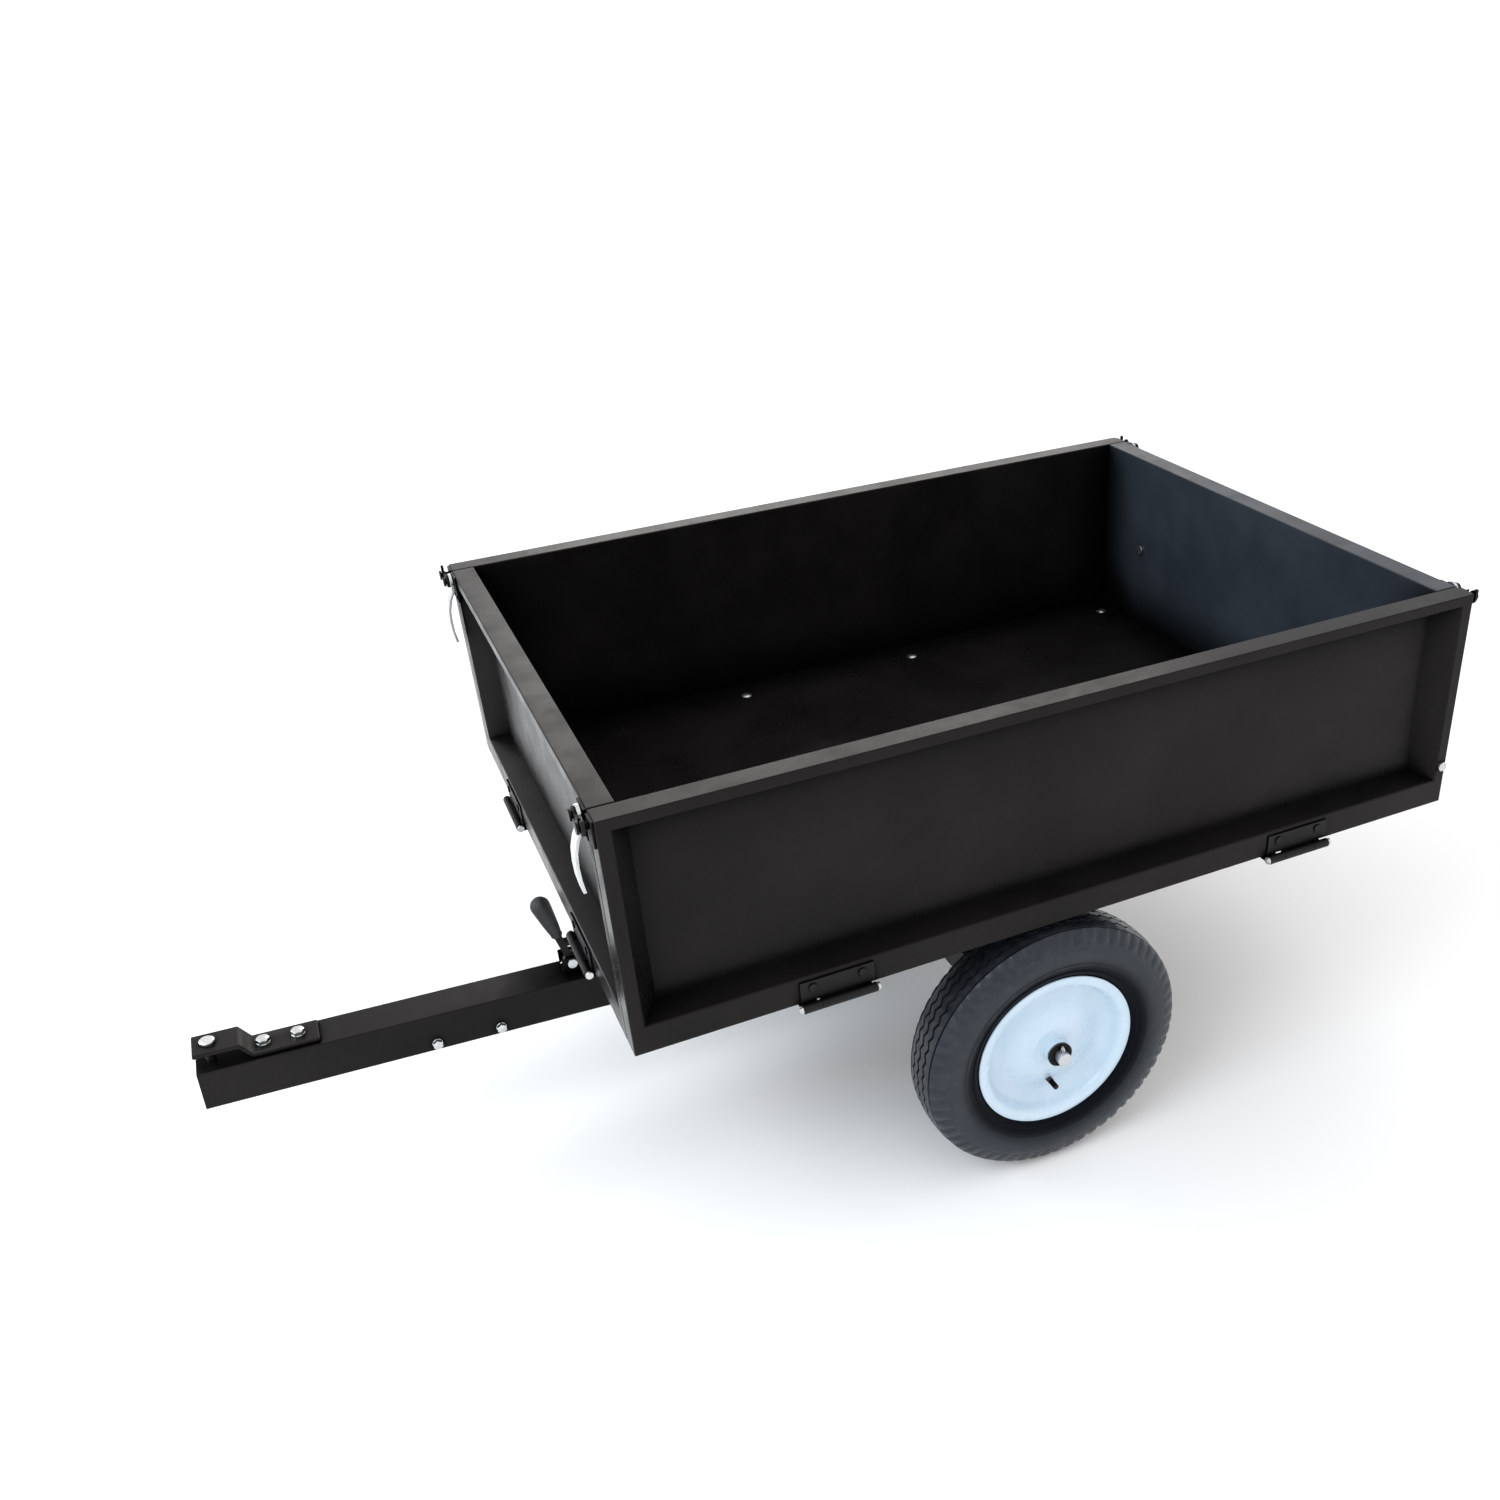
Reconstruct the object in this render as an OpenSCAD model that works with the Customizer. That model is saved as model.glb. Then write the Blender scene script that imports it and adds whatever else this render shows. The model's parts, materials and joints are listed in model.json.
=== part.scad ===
// Tow-behind dump cart with four drop-down panels, corner latches,
// a tipping bed, pneumatic wheels and a pinned clevis hitch.
// Row frame: +Z up, hitch towards -X, tailgate towards +X. Millimetres.

/* [Bed] */
// Length of the bed over the panels
bed_l = 1180; // [960:5:1420]
// Width of the bed over the side panels
bed_w = 866; // [720:2:1040]
// Height of the panels from lower edge to rim
panel_h = 312; // [250:2:380]
// Depth of the folded frame round each panel
frame_d = 32; // [26:1:39]
// Thickness of the pressed sheet
sheet_t = 2; // [1.6:0.1:2.4]
// Height of the lip along the bottom of each panel
skirt_h = 36; // [30:1:44]
// Width of the lip at each end of a panel
end_lip = 16; // [13:1:20]
// Height of the floor above the lower edge of the panels
floor_h = 22; // [18:1:26]
// Running gap between a panel and its neighbours
panel_gap = 1; // [0.8:0.1:1.5]
// Gap between the floor tray and the panels
tray_gap = 1.5; // [1:0.1:2]

/* [Hinges] */
// Length of one panel hinge
hinge_l = 96; // [80:2:116]
// Radius of a hinge knuckle
knuckle_r = 6; // [5:0.5:7]
// Radius of a hinge pin
pin_r = 3; // [2.5:0.25:3.5]
// Distance of the side panel hinges from the middle of the bed
side_hinge_x = 338; // [280:2:400]
// Distance of the end panel hinges from the centre line
end_hinge_y = 200; // [170:2:240]

/* [Corner latches] */
// Length of a latch lever below its pivot
latch_l = 94; // [80:1:112]
// Width of a latch lever
latch_w = 20; // [17:1:24]
// Depth of the latch pivot below the rim
latch_drop = 10; // [8:1:14]
// Radius of the latch pivot and keeper studs
stud_r = 4; // [3.5:0.25:4.5]

/* [Wheels] */
// Outside diameter of the tyre
tyre_d = 380; // [320:2:440]
// Width of the tyre at its widest
tyre_w = 83; // [76:1:106]
// Outside diameter of the rim flange
rim_d = 232; // [195:1:256]
// Distance of each wheel's centre plane from the centre line
wheel_y = 412; // [400:1:460]
// Position of the axle, behind the middle of the bed
axle_x = -40; // [-60:1:20]
// Radius of the axle shaft
axle_r = 9.5; // [8:0.25:11]
// Clearance between the tyre and the panels' lower edge
tyre_gap = 10; // [8:1:14]

/* [Drawbar and hitch] */
// Side of the square drawbar tube
bar_w = 58; // [42:1:60]
// Wall of the drawbar tube
bar_t = 3; // [2.5:0.1:4]
// Distance from the middle of the bed to the front of the drawbar
bar_reach = 1086; // [960:2:1280]
// Height of the drawbar's centre at its front end
bar_z = 222; // [218:1:236]
// Slope of the drawbar, front end high
bar_pitch = 3; // [2.5:0.1:3.4]
// Radius of the hitch pin
hitch_pin_r = 6.35; // [5.5:0.05:7.5]
// Height of the clevis gap above the drawbar
clevis_gap = 20; // [17:1:24]

/* [Tipping gear] */
// Distance of the tipping pivot behind the middle of the bed
pivot_x = 60; // [40:2:80]
// Radius of the tipping pivot pins
pivot_r = 8; // [7:0.25:9]
// Length of the release lever above its pivot
lever_l = 112; // [96:2:130]
// Forward lean of the release lever
lever_lean = 15; // [9:1:15]

/* [Hidden] */
$fn = 48;
fit = 0.05;                 // radial running clearance of pins in holes
plate_t = 3;                // latch bases, keepers and brackets
half_l = bed_l / 2;
half_w = bed_w / 2;
in_x = half_l - frame_d;    // inner face of the end panels
in_y = half_w - frame_d;    // inner face of the side panels
wheel_r = tyre_d / 2;
bed_z = tyre_d + tyre_gap;  // lower edge of the panels
rim_z = bed_z + panel_h;
floor_z = bed_z + floor_h;  // top of the floor

// folded frame of a panel
top_lip = 14;
ledge_rise = 14;            // slope of the ledge above the bottom lip
end_slope = 26;             // slope of the recess at a panel's ends

// hinge line, outboard of the panel face
hinge_out = knuckle_r + 1;
hinge_drop = 4;             // below the lower edge of the panel
leaf_t = 2.5;
leaf_h = 30;

// corner latches
latch_y = in_y - 14;        // pivot from the centre line
keeper_y = in_y + frame_d / 2 + 1;
latch_z = rim_z - latch_drop;
latch_t = 4;
latch_bow = 12;             // how far a latch lever bows outwards
base_x = half_l + plate_t;  // face of the latch base
lever_in = base_x + 1.5;    // inner face of the latch lever
claw_in = lever_in + latch_t;
stud_end = claw_in + latch_t + 1.5;

// underframe, from the floor down
cross_h = 25;
cross_w = 50;
cross_top = floor_z - sheet_t;
cross_z = cross_top - cross_h;
rail_h = 35;
rail_z = cross_z - rail_h;
rail_w = 40;
rail_y = 180;               // inner side of each rail
front_cross_x = -half_l + 70;
bolt_xs = [front_cross_x, -170, 135, half_l - 70];
bolt_y = in_y - 51;

// tipping pivot
pivot_z = rail_z - 20;
lug_t = 8;
lug_y = rail_y + 12;        // inner side of the bed's lugs
ear_y = lug_y + lug_t + 0.5;
boss_r = 18;

// axle, hub and rim
beam_w = 50;
beam_end = wheel_y - 72;
rim_w = 66;
hub_r = 17;
hub_in = wheel_y - 36;
hub_out = wheel_y + 38;
bush_t = 3;                 // flange of the wheel bushes
bush_r = axle_r + 4;
washer_t = 2.5;
axle_end = hub_out + bush_t + washer_t + 12;

// drawbar, along its own axis from the front end
bar_rear = -(axle_x - beam_w / 2) + 2;
bar_len = (bar_reach - bar_rear) / cos(bar_pitch);
pin_in = 20;                // hitch pin from the front end
jaw_t = 6;
jaw_l = 56;
jaw_w = 46;
jaw_bolts = [85, 129];
side_bolts = [300, 388];    // bolts near the drawbar's lower edge

// release lever and strike
lever_x = -half_l + 7;
lever_y = 6;                // half thickness of the lever
strike_x = -half_l + 25;
strike_w = 36;
nose_up = 30;               // hook nose above the lever's pivot
function bar_top(x) = bar_z - (bar_reach + x) * tan(bar_pitch) + bar_w / 2 / cos(bar_pitch);
lever_z = bar_top(lever_x) + 18;
strike_bar = lever_z + nose_up - 5;   // top of the strike's lower bar
post_x = front_cross_x + 14;

// the origin is the middle of the bounding box
front_reach = bar_reach + bar_w / 2 * sin(bar_pitch);
rear_reach = max(stud_end + plate_t, claw_in + latch_bow);
shift_x = (front_reach - rear_reach) / 2;

black = [0.09, 0.09, 0.1];
dark = [0.16, 0.16, 0.17];
zinc = [0.78, 0.79, 0.8];
white = [0.92, 0.93, 0.94];
rubber = [0.07, 0.07, 0.08];

// ---- helpers ----
module box(a, b) {
    translate(a) cube([b[0] - a[0], b[1] - a[1], b[2] - a[2]]);
}

module rod_x(r, x0, x1, y, z) {
    translate([x0, y, z]) rotate([0, 90, 0]) cylinder(r = r, h = x1 - x0);
}

module rod_y(r, y0, y1, x, z) {
    translate([x, y1, z]) rotate([90, 0, 0]) cylinder(r = r, h = y1 - y0);
}

module rod_z(r, z0, z1, x, y) {
    translate([x, y, z0]) cylinder(r = r, h = z1 - z0);
}

module flip_x(on) {
    if (on) mirror([1, 0, 0]) children();
    else children();
}

module flip_y(on) {
    if (on) mirror([0, 1, 0]) children();
    else children();
}

module both_sides() {
    children();
    mirror([0, 1, 0]) children();
}

// the whole cart, moved so that its bounding box is centred
module placed() {
    translate([shift_x, 0, 0]) children();
}

// the drawbar's own frame: X from its front end, Z across it
module on_bar() {
    translate([-bar_reach, 0, bar_z]) rotate([0, bar_pitch, 0]) children();
}

// ---- panels ----
// Pressed panel, outward is -Y: inner face at y = 0, lower edge at z = 0.
module panel(l) {
    d = frame_d;
    t = sheet_t;
    foot = l / 2 - end_lip;
    box([-l / 2, -t, 0], [l / 2, 0, panel_h]);
    box([-l / 2, -d, panel_h - t], [l / 2, 0, panel_h]);
    box([-l / 2, -d, panel_h - top_lip], [l / 2, -d + t, panel_h]);
    box([-l / 2, -d, 0], [l / 2, -d + t, skirt_h]);
    // sloped ledge between the bottom lip and the sheet
    translate([-foot, 0, 0]) rotate([90, 0, 90]) linear_extrude(2 * foot)
        polygon([[-d, skirt_h - t], [-d, skirt_h], [0, skirt_h + ledge_rise],
                 [0, skirt_h + ledge_rise - t]]);
    for (side = [0, 1]) flip_x(side == 1) {
        box([-l / 2, -d, 0], [-l / 2 + t, 0, panel_h]);
        box([-l / 2, -d, 0], [-foot, -d + t, panel_h]);
        // sloped end of the recess
        translate([0, 0, skirt_h - t]) linear_extrude(panel_h - skirt_h)
            polygon([[-foot - t, -d], [-foot, -d], [-foot + end_slope, 0],
                     [-foot + end_slope - t, 0]]);
    }
}

module near_panel_place() {
    placed() translate([0, -in_y, bed_z]) children();
}

module front_panel_place() {
    placed() translate([-in_x, 0, bed_z]) rotate([0, 0, -90]) children();
}

end_panel_l = 2 * (in_y - panel_gap);
lip_bolt_r = 3.5;
lip_bolt_z = 58;
gate_bolt_r = 4;
gate_bolt_y = in_y - 111;   // bolts through the tailgate's sheet
gate_bolt_z = 151;

module near_side_panel() color(black) near_panel_place() difference() {
    panel(bed_l);
    rod_y(lip_bolt_r, -half_w, -frame_d + sheet_t + 1, half_l - end_lip / 2, lip_bolt_z);
}
module far_side_panel() mirror([0, 1, 0]) near_side_panel();
// bolt near the rear foot of a side panel, through its end lip
module near_lip_bolt() color(zinc) near_panel_place() translate([half_l - end_lip / 2, 0, 0]) {
    rod_y(lip_bolt_r, -frame_d - 1, -frame_d + sheet_t + 6, 0, lip_bolt_z);
    rod_y(lip_bolt_r * 1.9, -frame_d - 4, -frame_d, 0, lip_bolt_z);
    translate([0, -frame_d + sheet_t + 4, lip_bolt_z]) rotate([90, 0, 0])
        cylinder(r = lip_bolt_r * 1.6, h = 4, $fn = 6);
}
module far_lip_bolt() mirror([0, 1, 0]) near_lip_bolt();

module front_panel() color(black) front_panel_place() panel(end_panel_l);
module tailgate_place() {
    placed() mirror([1, 0, 0]) translate([-in_x, 0, bed_z]) rotate([0, 0, -90]) children();
}
module tailgate() color(black) tailgate_place() difference() {
    panel(end_panel_l);
    for (s = [-1, 1]) rod_y(gate_bolt_r, -sheet_t - 1, 1, s * gate_bolt_y, gate_bolt_z);
}

// carriage bolts with their round heads inside the bed
module tailgate_bolts() color(zinc) tailgate_place()
    for (s = [-1, 1]) translate([s * gate_bolt_y, 0, gate_bolt_z]) {
        rod_y(gate_bolt_r, -sheet_t - 10, 0, 0, 0);
        rod_y(gate_bolt_r * 2, 0, 2.5, 0, 0);
        translate([0, -sheet_t, 0]) rotate([90, 0, 0])
            cylinder(r = gate_bolt_r * 1.8, h = 6, $fn = 6);
    }

// ---- panel hinges, outward is -Y ----
hinge_y = -frame_d - hinge_out;
knuckle_l = hinge_l / 4;
skirt_in = tray_gap + sheet_t;   // inner side of the floor tray's skirt

// leaf on the panel's bottom lip with the middle knuckle
module panel_leaf(x) {
    difference() {
        union() {
            rod_x(knuckle_r, x - knuckle_l, x + knuckle_l, hinge_y, -hinge_drop);
            box([x - knuckle_l, hinge_y, -hinge_drop],
                [x + knuckle_l, -frame_d, -hinge_drop + knuckle_r]);
            box([x - hinge_l / 2, -frame_d - leaf_t, knuckle_r - hinge_drop],
                [x + hinge_l / 2, -frame_d, leaf_h]);
        }
        rod_x(pin_r + fit, x - hinge_l, x + hinge_l, hinge_y, -hinge_drop);
    }
    for (s = [-1, 1])
        translate([x + s * hinge_l / 3, -frame_d - leaf_t, leaf_h - 9])
            rotate([90, 0, 0]) cylinder(r = 5, h = 2);
}

// leaf under the bed with the two outer knuckles
module bed_leaf(x) {
    for (s = [-1, 1]) difference() {
        x0 = s < 0 ? x - hinge_l / 2 : x + knuckle_l + 0.5;
        x1 = s < 0 ? x - knuckle_l - 0.5 : x + hinge_l / 2;
        union() {
            rod_x(knuckle_r, x0, x1, hinge_y, -hinge_drop);
            box([x0, hinge_y, -hinge_drop - knuckle_r],
                [x1, skirt_in, -hinge_drop - knuckle_r + leaf_t]);
        }
        rod_x(pin_r + fit, x - hinge_l, x + hinge_l, hinge_y, -hinge_drop);
    }
    box([x - hinge_l / 2, skirt_in, -hinge_drop - knuckle_r],
        [x + hinge_l / 2, skirt_in + leaf_t, floor_h - 2 * sheet_t]);
}

module panel_pin(x) {
    rod_x(pin_r, x - hinge_l / 2 - 5, x + hinge_l / 2 + 4, hinge_y, -hinge_drop);
    rod_x(pin_r + 2, x + hinge_l / 2 + 0.5, x + hinge_l / 2 + 4, hinge_y, -hinge_drop);
    rod_x(pin_r + 2, x - hinge_l / 2 - 3, x - hinge_l / 2 - 0.5, hinge_y, -hinge_drop);
}

module near_hinge_leaves() color(dark) near_panel_place()
    for (s = [-1, 1]) panel_leaf(s * side_hinge_x);
module far_hinge_leaves() mirror([0, 1, 0]) near_hinge_leaves();
module front_hinge_leaves() color(dark) front_panel_place()
    for (s = [-1, 1]) panel_leaf(s * end_hinge_y);
module tailgate_hinge_leaves() color(dark) tailgate_place()
    for (s = [-1, 1]) panel_leaf(s * end_hinge_y);

module bed_hinge_leaves() color(dark) placed() {
    for (s = [-1, 1]) {
        both_sides() translate([0, -in_y, bed_z]) bed_leaf(s * side_hinge_x);
        for (rear = [0, 1]) flip_x(rear == 1)
            translate([-in_x, 0, bed_z]) rotate([0, 0, -90]) bed_leaf(s * end_hinge_y);
    }
}

module hinge_pins() color(zinc) placed() {
    for (s = [-1, 1]) {
        both_sides() translate([0, -in_y, bed_z]) panel_pin(s * side_hinge_x);
        for (rear = [0, 1]) flip_x(rear == 1)
            translate([-in_x, 0, bed_z]) rotate([0, 0, -90]) panel_pin(s * end_hinge_y);
    }
}

// ---- bed ----
cross_half = in_y - tray_gap - sheet_t;

module bed_floor() color(black) placed() {
    x = in_x - tray_gap;
    y = in_y - tray_gap;
    difference() {
        box([-x, -y, cross_top], [x, y, floor_z]);
        for (bx = bolt_xs) for (s = [-1, 1]) rod_z(4, bed_z, rim_z, bx, s * bolt_y);
    }
    for (s = [0, 1]) {
        flip_x(s == 1) box([-x, -y, bed_z], [-x + sheet_t, y, cross_top]);
        flip_y(s == 1) box([-x, -y, bed_z], [x, -y + sheet_t, cross_top]);
    }
}

// channel with its open side down, along Y
module cross_member(x) {
    difference() {
        box([x - cross_w / 2, -cross_half, cross_z], [x + cross_w / 2, cross_half, cross_top]);
        box([x - cross_w / 2 + plate_t, -half_w, cross_z - 1],
            [x + cross_w / 2 - plate_t, half_w, cross_top - plate_t]);
        for (s = [-1, 1]) rod_z(4, cross_z, floor_z, x, s * bolt_y);
    }
    // closing plate that the underframe bolts to
    for (s = [0, 1]) flip_y(s == 1)
        box([x - cross_w / 2 + plate_t, -rail_y - rail_w, cross_z],
            [x + cross_w / 2 - plate_t, -rail_y, cross_z + plate_t]);
}

module bed_cross_members() color(dark) placed() {
    for (x = bolt_xs) cross_member(x);
    // landing plate for the bed rest and the strike
    box([front_cross_x - cross_w / 2 + plate_t, -40, cross_z],
        [front_cross_x + cross_w / 2 - plate_t, 40, cross_z + plate_t]);
}

module bed_rails() color(dark) placed() both_sides() difference() {
    box([-half_l + 45, -rail_y - rail_w, rail_z], [half_l - 45, -rail_y, cross_z]);
    box([-half_l, -rail_y - rail_w + plate_t, rail_z + plate_t],
        [half_l, -rail_y - plate_t, cross_z - plate_t]);
}

// carriage bolts through the floor and the cross members
module floor_bolts() color(zinc) placed()
    for (x = bolt_xs) for (s = [-1, 1]) translate([x, s * bolt_y, 0]) {
        translate([0, 0, floor_z]) intersection() {
            cylinder(r = 9, h = 4);
            translate([0, 0, -9]) sphere(r = 12.7);
        }
        translate([0, 0, cross_top - 12]) cylinder(r = 4, h = 12 + sheet_t);
        translate([0, 0, cross_top - plate_t - 6]) cylinder(r = 7.5, h = 6, $fn = 6);
    }

module pivot_lugs() color(dark) placed() both_sides() difference() {
    union() {
        box([pivot_x - boss_r, -lug_y - lug_t, pivot_z], [pivot_x + boss_r, -lug_y, rail_z]);
        rod_y(boss_r, -lug_y - lug_t, -lug_y, pivot_x, pivot_z);
    }
    rod_y(pivot_r + fit, -half_w, 0, pivot_x, pivot_z);
}

// bright strap that hangs from the front cross member, with a window
module tip_strike() color(zinc) placed() {
    half = strike_w / 2;
    box([strike_x - 2, -half, cross_z - latch_t],
        [front_cross_x - 3, half, cross_z]);
    difference() {
        box([strike_x - 2, -half, strike_bar - 12], [strike_x + 2, half, cross_z - latch_t]);
        box([strike_x - 3, -lever_y - 3, strike_bar],
            [strike_x + 3, lever_y + 3, strike_bar + 40]);
    }
}

// ---- corner latches, drawn at the front near corner ----
// Keeper stud on the end of a side panel, with its base plate.
module keeper() {
    half = 11;
    difference() {
        box([-base_x, -keeper_y - half, latch_z - 24], [-half_l, -keeper_y + half, rim_z - 1]);
        rod_x(stud_r, -base_x - 1, -half_l + 1, -keeper_y, latch_z);
    }
    rod_x(stud_r, -stud_end, -half_l, -keeper_y, latch_z);
    rod_x(stud_r + 3, -stud_end - plate_t, -stud_end, -keeper_y, latch_z);
}

module latch_base() {
    difference() {
        box([-base_x, -in_y + panel_gap + 1, latch_z - 30],
            [-half_l, -latch_y + 17, rim_z - 1]);
        rod_x(stud_r, -base_x - 1, -half_l + 1, -latch_y, latch_z);
    }
    rod_x(stud_r, -stud_end, -half_l, -latch_y, latch_z);
    rod_x(stud_r + 4, -lever_in, -base_x, -latch_y, latch_z);
    rod_x(stud_r + 3, -stud_end - plate_t, -stud_end, -latch_y, latch_z);
    for (dy = [-7, 12])
        rod_x(3, -base_x - 1, -base_x, -latch_y + dy, latch_z - 23);
}

// zinc strap lever that hangs down and bows outwards for the fingers:
// [outward, down] along its inner face, as shares of the bow and the length
bow_line = [[0, 0], [0, 0.16], [0.55, 0.3], [0.9, 0.46], [1, 0.64], [0.95, 0.82], [0.75, 1]];

module latch_lever() {
    inner = [for (p = bow_line) [-lever_in - p[0] * latch_bow, latch_z - p[1] * latch_l]];
    outer = [for (p = reversed(inner)) [p[0] - latch_t, p[1]]];
    difference() {
        union() {
            rod_x(latch_w / 2 + 1, -claw_in, -lever_in, -latch_y, latch_z);
            translate([0, -latch_y + latch_w / 2, 0]) rotate([90, 0, 0]) linear_extrude(latch_w)
                polygon(concat(inner, outer));
        }
        rod_x(stud_r + fit, -half_l - 40, -half_l, -latch_y, latch_z);
        rod_x(3, -half_l - 60, -half_l, -latch_y, latch_z - latch_l + 13);
    }
}

// dark claw that reaches round the keeper stud from below
module latch_claw() {
    out = claw_in + latch_t;
    reach = keeper_y - latch_y;
    jaw = 10;
    difference() {
        union() {
            rod_x(latch_w / 2 - 1, -out, -claw_in, -latch_y, latch_z);
            box([-out, -keeper_y, latch_z - jaw], [-claw_in, -latch_y, latch_z + jaw / 2]);
            rod_x(jaw, -out, -claw_in, -keeper_y, latch_z);
            box([-out, -keeper_y - jaw, latch_z], [-claw_in, -keeper_y, latch_z + jaw + 2]);
        }
        rod_x(stud_r + fit, -out - 1, -claw_in + 1, -latch_y, latch_z);
        rod_x(stud_r + 2, -out - 1, -claw_in + 1, -keeper_y, latch_z);
        box([-out - 1, -keeper_y - stud_r - 2, latch_z],
            [-claw_in + 1, -keeper_y + stud_r + 2, latch_z + 3 * jaw]);
    }
}

module near_keepers() color(dark) placed()
    for (rear = [0, 1]) flip_x(rear == 1) keeper();
module far_keepers() mirror([0, 1, 0]) near_keepers();
module front_latch_bases() color(dark) placed() both_sides() latch_base();
module tailgate_latch_bases() color(dark) placed() mirror([1, 0, 0]) both_sides() latch_base();

module latch_lever_front_near() color(zinc) placed() latch_lever();
module latch_claw_front_near() color(dark) placed() latch_claw();
module latch_lever_front_far() mirror([0, 1, 0]) latch_lever_front_near();
module latch_claw_front_far() mirror([0, 1, 0]) latch_claw_front_near();
module latch_lever_rear_near() color(zinc) placed() mirror([1, 0, 0]) latch_lever();
module latch_claw_rear_near() color(dark) placed() mirror([1, 0, 0]) latch_claw();
module latch_lever_rear_far() mirror([0, 1, 0]) latch_lever_rear_near();
module latch_claw_rear_far() mirror([0, 1, 0]) latch_claw_rear_near();

// ---- wheels, drawn on the near side; the wheel's axis is local Z, outward ----
module near_wheel_place() {
    placed() translate([axle_x, -wheel_y, wheel_r]) rotate([90, 0, 0]) children();
}

steps = 9;
rim_r = rim_d / 2;
bead_r = rim_r - 15;

// half of a tyre section, from the bead up to the crown, shrunk by the wall w
function tyre_half(w, side) =
    let (wide = tyre_w / 2 - w, mid = (rim_r + wheel_r) / 2, top = wheel_r - w * 1.3,
         neck = rim_w / 2 - 2.5 - w)
    concat(
        [[bead_r, side * neck]],
        [for (i = [0 : steps]) let (a = 90 - 90 * i / steps)
            [mid - (mid - rim_r - 1) * sin(a), side * (wide - (wide - neck) * (1 - cos(a)))]],
        [for (i = [1 : steps]) let (a = 90 * i / steps)
            [mid + (top - mid) * pow(sin(a), 0.75), side * wide * pow(cos(a), 0.55)]]
    );
function reversed(list) = [for (i = [len(list) - 1 : -1 : 0]) list[i]];

module near_tyre() color(rubber) near_wheel_place() {
    wall = 7;
    difference() {
        rotate_extrude($fn = 96) polygon(concat(
            tyre_half(0, -1), reversed(tyre_half(0, 1)),
            tyre_half(wall, 1), reversed(tyre_half(wall, -1))));
        for (z = [-19, 0, 19]) rotate_extrude($fn = 96)
            translate([wheel_r - 3.5, z - 1.5]) square([6, 3]);
    }
}

valve_r = 64;               // distance of the valve from the axle
stem_r = 5;                 // rubber stem of the valve
tip_r = 3.85;               // thread of the valve's tip, for a cap or a chuck
tip_l = 12;
valve_shoulder = 20;        // top of the stem from the wheel's centre plane
module near_rim() color(white) near_wheel_place() {
    w = rim_w / 2;
    t = 2.5;
    d = bead_r;
    difference() {
        union() {
            rotate_extrude($fn = 96)
                polygon([[rim_r, w], [rim_r, w - t], [d, w - t], [d - 1, w / 2], [d - 13, w / 3],
                         [d - 13, -w / 3], [d - 1, -w / 2], [d, -w + t], [rim_r, -w + t],
                         [rim_r, -w], [d - t, -w], [d - t - 1, -w / 2], [d - 13 - t, -w / 3],
                         [d - 13 - t, w / 3], [d - t - 1, w / 2], [d - t, w]]);
            // dished disc
            rotate_extrude($fn = 96)
                polygon([[d - 13 - t + 0.5, 2], [72, 4], [42, 20], [bush_r, 24],
                         [bush_r, 27], [43, 23], [73, 7], [d - 13 - t + 0.5, 5]]);
            translate([0, 0, hub_in - wheel_y]) cylinder(r = hub_r, h = hub_out - hub_in);
        }
        translate([0, 0, -wheel_y]) cylinder(r = bush_r, h = 2 * wheel_y);
        translate([0, -valve_r, 0]) cylinder(r = stem_r, h = 40);
    }
}

module near_bushes() color(dark) near_wheel_place() difference() {
    union() {
        for (end = [0, 1]) {
            z0 = end == 0 ? hub_in - wheel_y : hub_out - wheel_y - 24;
            translate([0, 0, z0]) cylinder(r = bush_r, h = 24);
            zf = end == 0 ? hub_in - wheel_y - bush_t : hub_out - wheel_y;
            translate([0, 0, zf]) cylinder(r = hub_r, h = bush_t);
        }
    }
    translate([0, 0, -wheel_y]) cylinder(r = axle_r + fit, h = 2 * wheel_y);
}

module near_valve() color(rubber) near_wheel_place() translate([0, -valve_r, 0]) {
    translate([0, 0, 2]) cylinder(r = stem_r, h = valve_shoulder - 2);
    translate([0, 0, valve_shoulder]) cylinder(r = tip_r - 0.5, h = 2);
    translate([0, 0, valve_shoulder + 2]) cylinder(r = tip_r, h = tip_l);
}

module far_tyre() mirror([0, 1, 0]) near_tyre();
module far_rim() mirror([0, 1, 0]) near_rim();
module far_bushes() mirror([0, 1, 0]) near_bushes();
module far_valve() mirror([0, 1, 0]) near_valve();

// ---- axle ----
module axle_shaft() color(zinc) placed() difference() {
    rod_y(axle_r, -axle_end, axle_end, axle_x, wheel_r);
    for (s = [-1, 1]) rod_z(1.6, 0, tyre_d, axle_x, s * (axle_end - 6));
}

module axle_beam() color(black) placed() {
    half = beam_w / 2;
    end_t = 6;
    difference() {
        box([axle_x - half, -beam_end, wheel_r - half], [axle_x + half, beam_end, wheel_r + half]);
        box([axle_x - half + bar_t, -beam_end + end_t, wheel_r - half + bar_t],
            [axle_x + half - bar_t, beam_end - end_t, wheel_r + half - bar_t]);
        rod_y(axle_r, -axle_end, axle_end, axle_x, wheel_r);
    }
}

// collars between the beam and the hubs, and washers outside the hubs
module axle_washers() color(zinc) placed() both_sides() difference() {
    side_gap = 0.3;
    union() {
        rod_y(axle_r + 5, -hub_in + bush_t + side_gap, -beam_end, axle_x, wheel_r);
        rod_y(axle_r + 8, -hub_out - bush_t - side_gap - washer_t,
              -hub_out - bush_t - side_gap, axle_x, wheel_r);
    }
    rod_y(axle_r, -axle_end, 0, axle_x, wheel_r);
}

module cotter_pins() color(zinc) placed() both_sides() translate([axle_x, -axle_end + 6, wheel_r]) {
    rod_z(1.6, -axle_r - 9, axle_r + 1.4, 0, 0);
    translate([0, 0, axle_r + 4.5]) rotate([0, 90, 0]) rotate_extrude() translate([3.4, 0])
        circle(r = 1.4);
}

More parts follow.
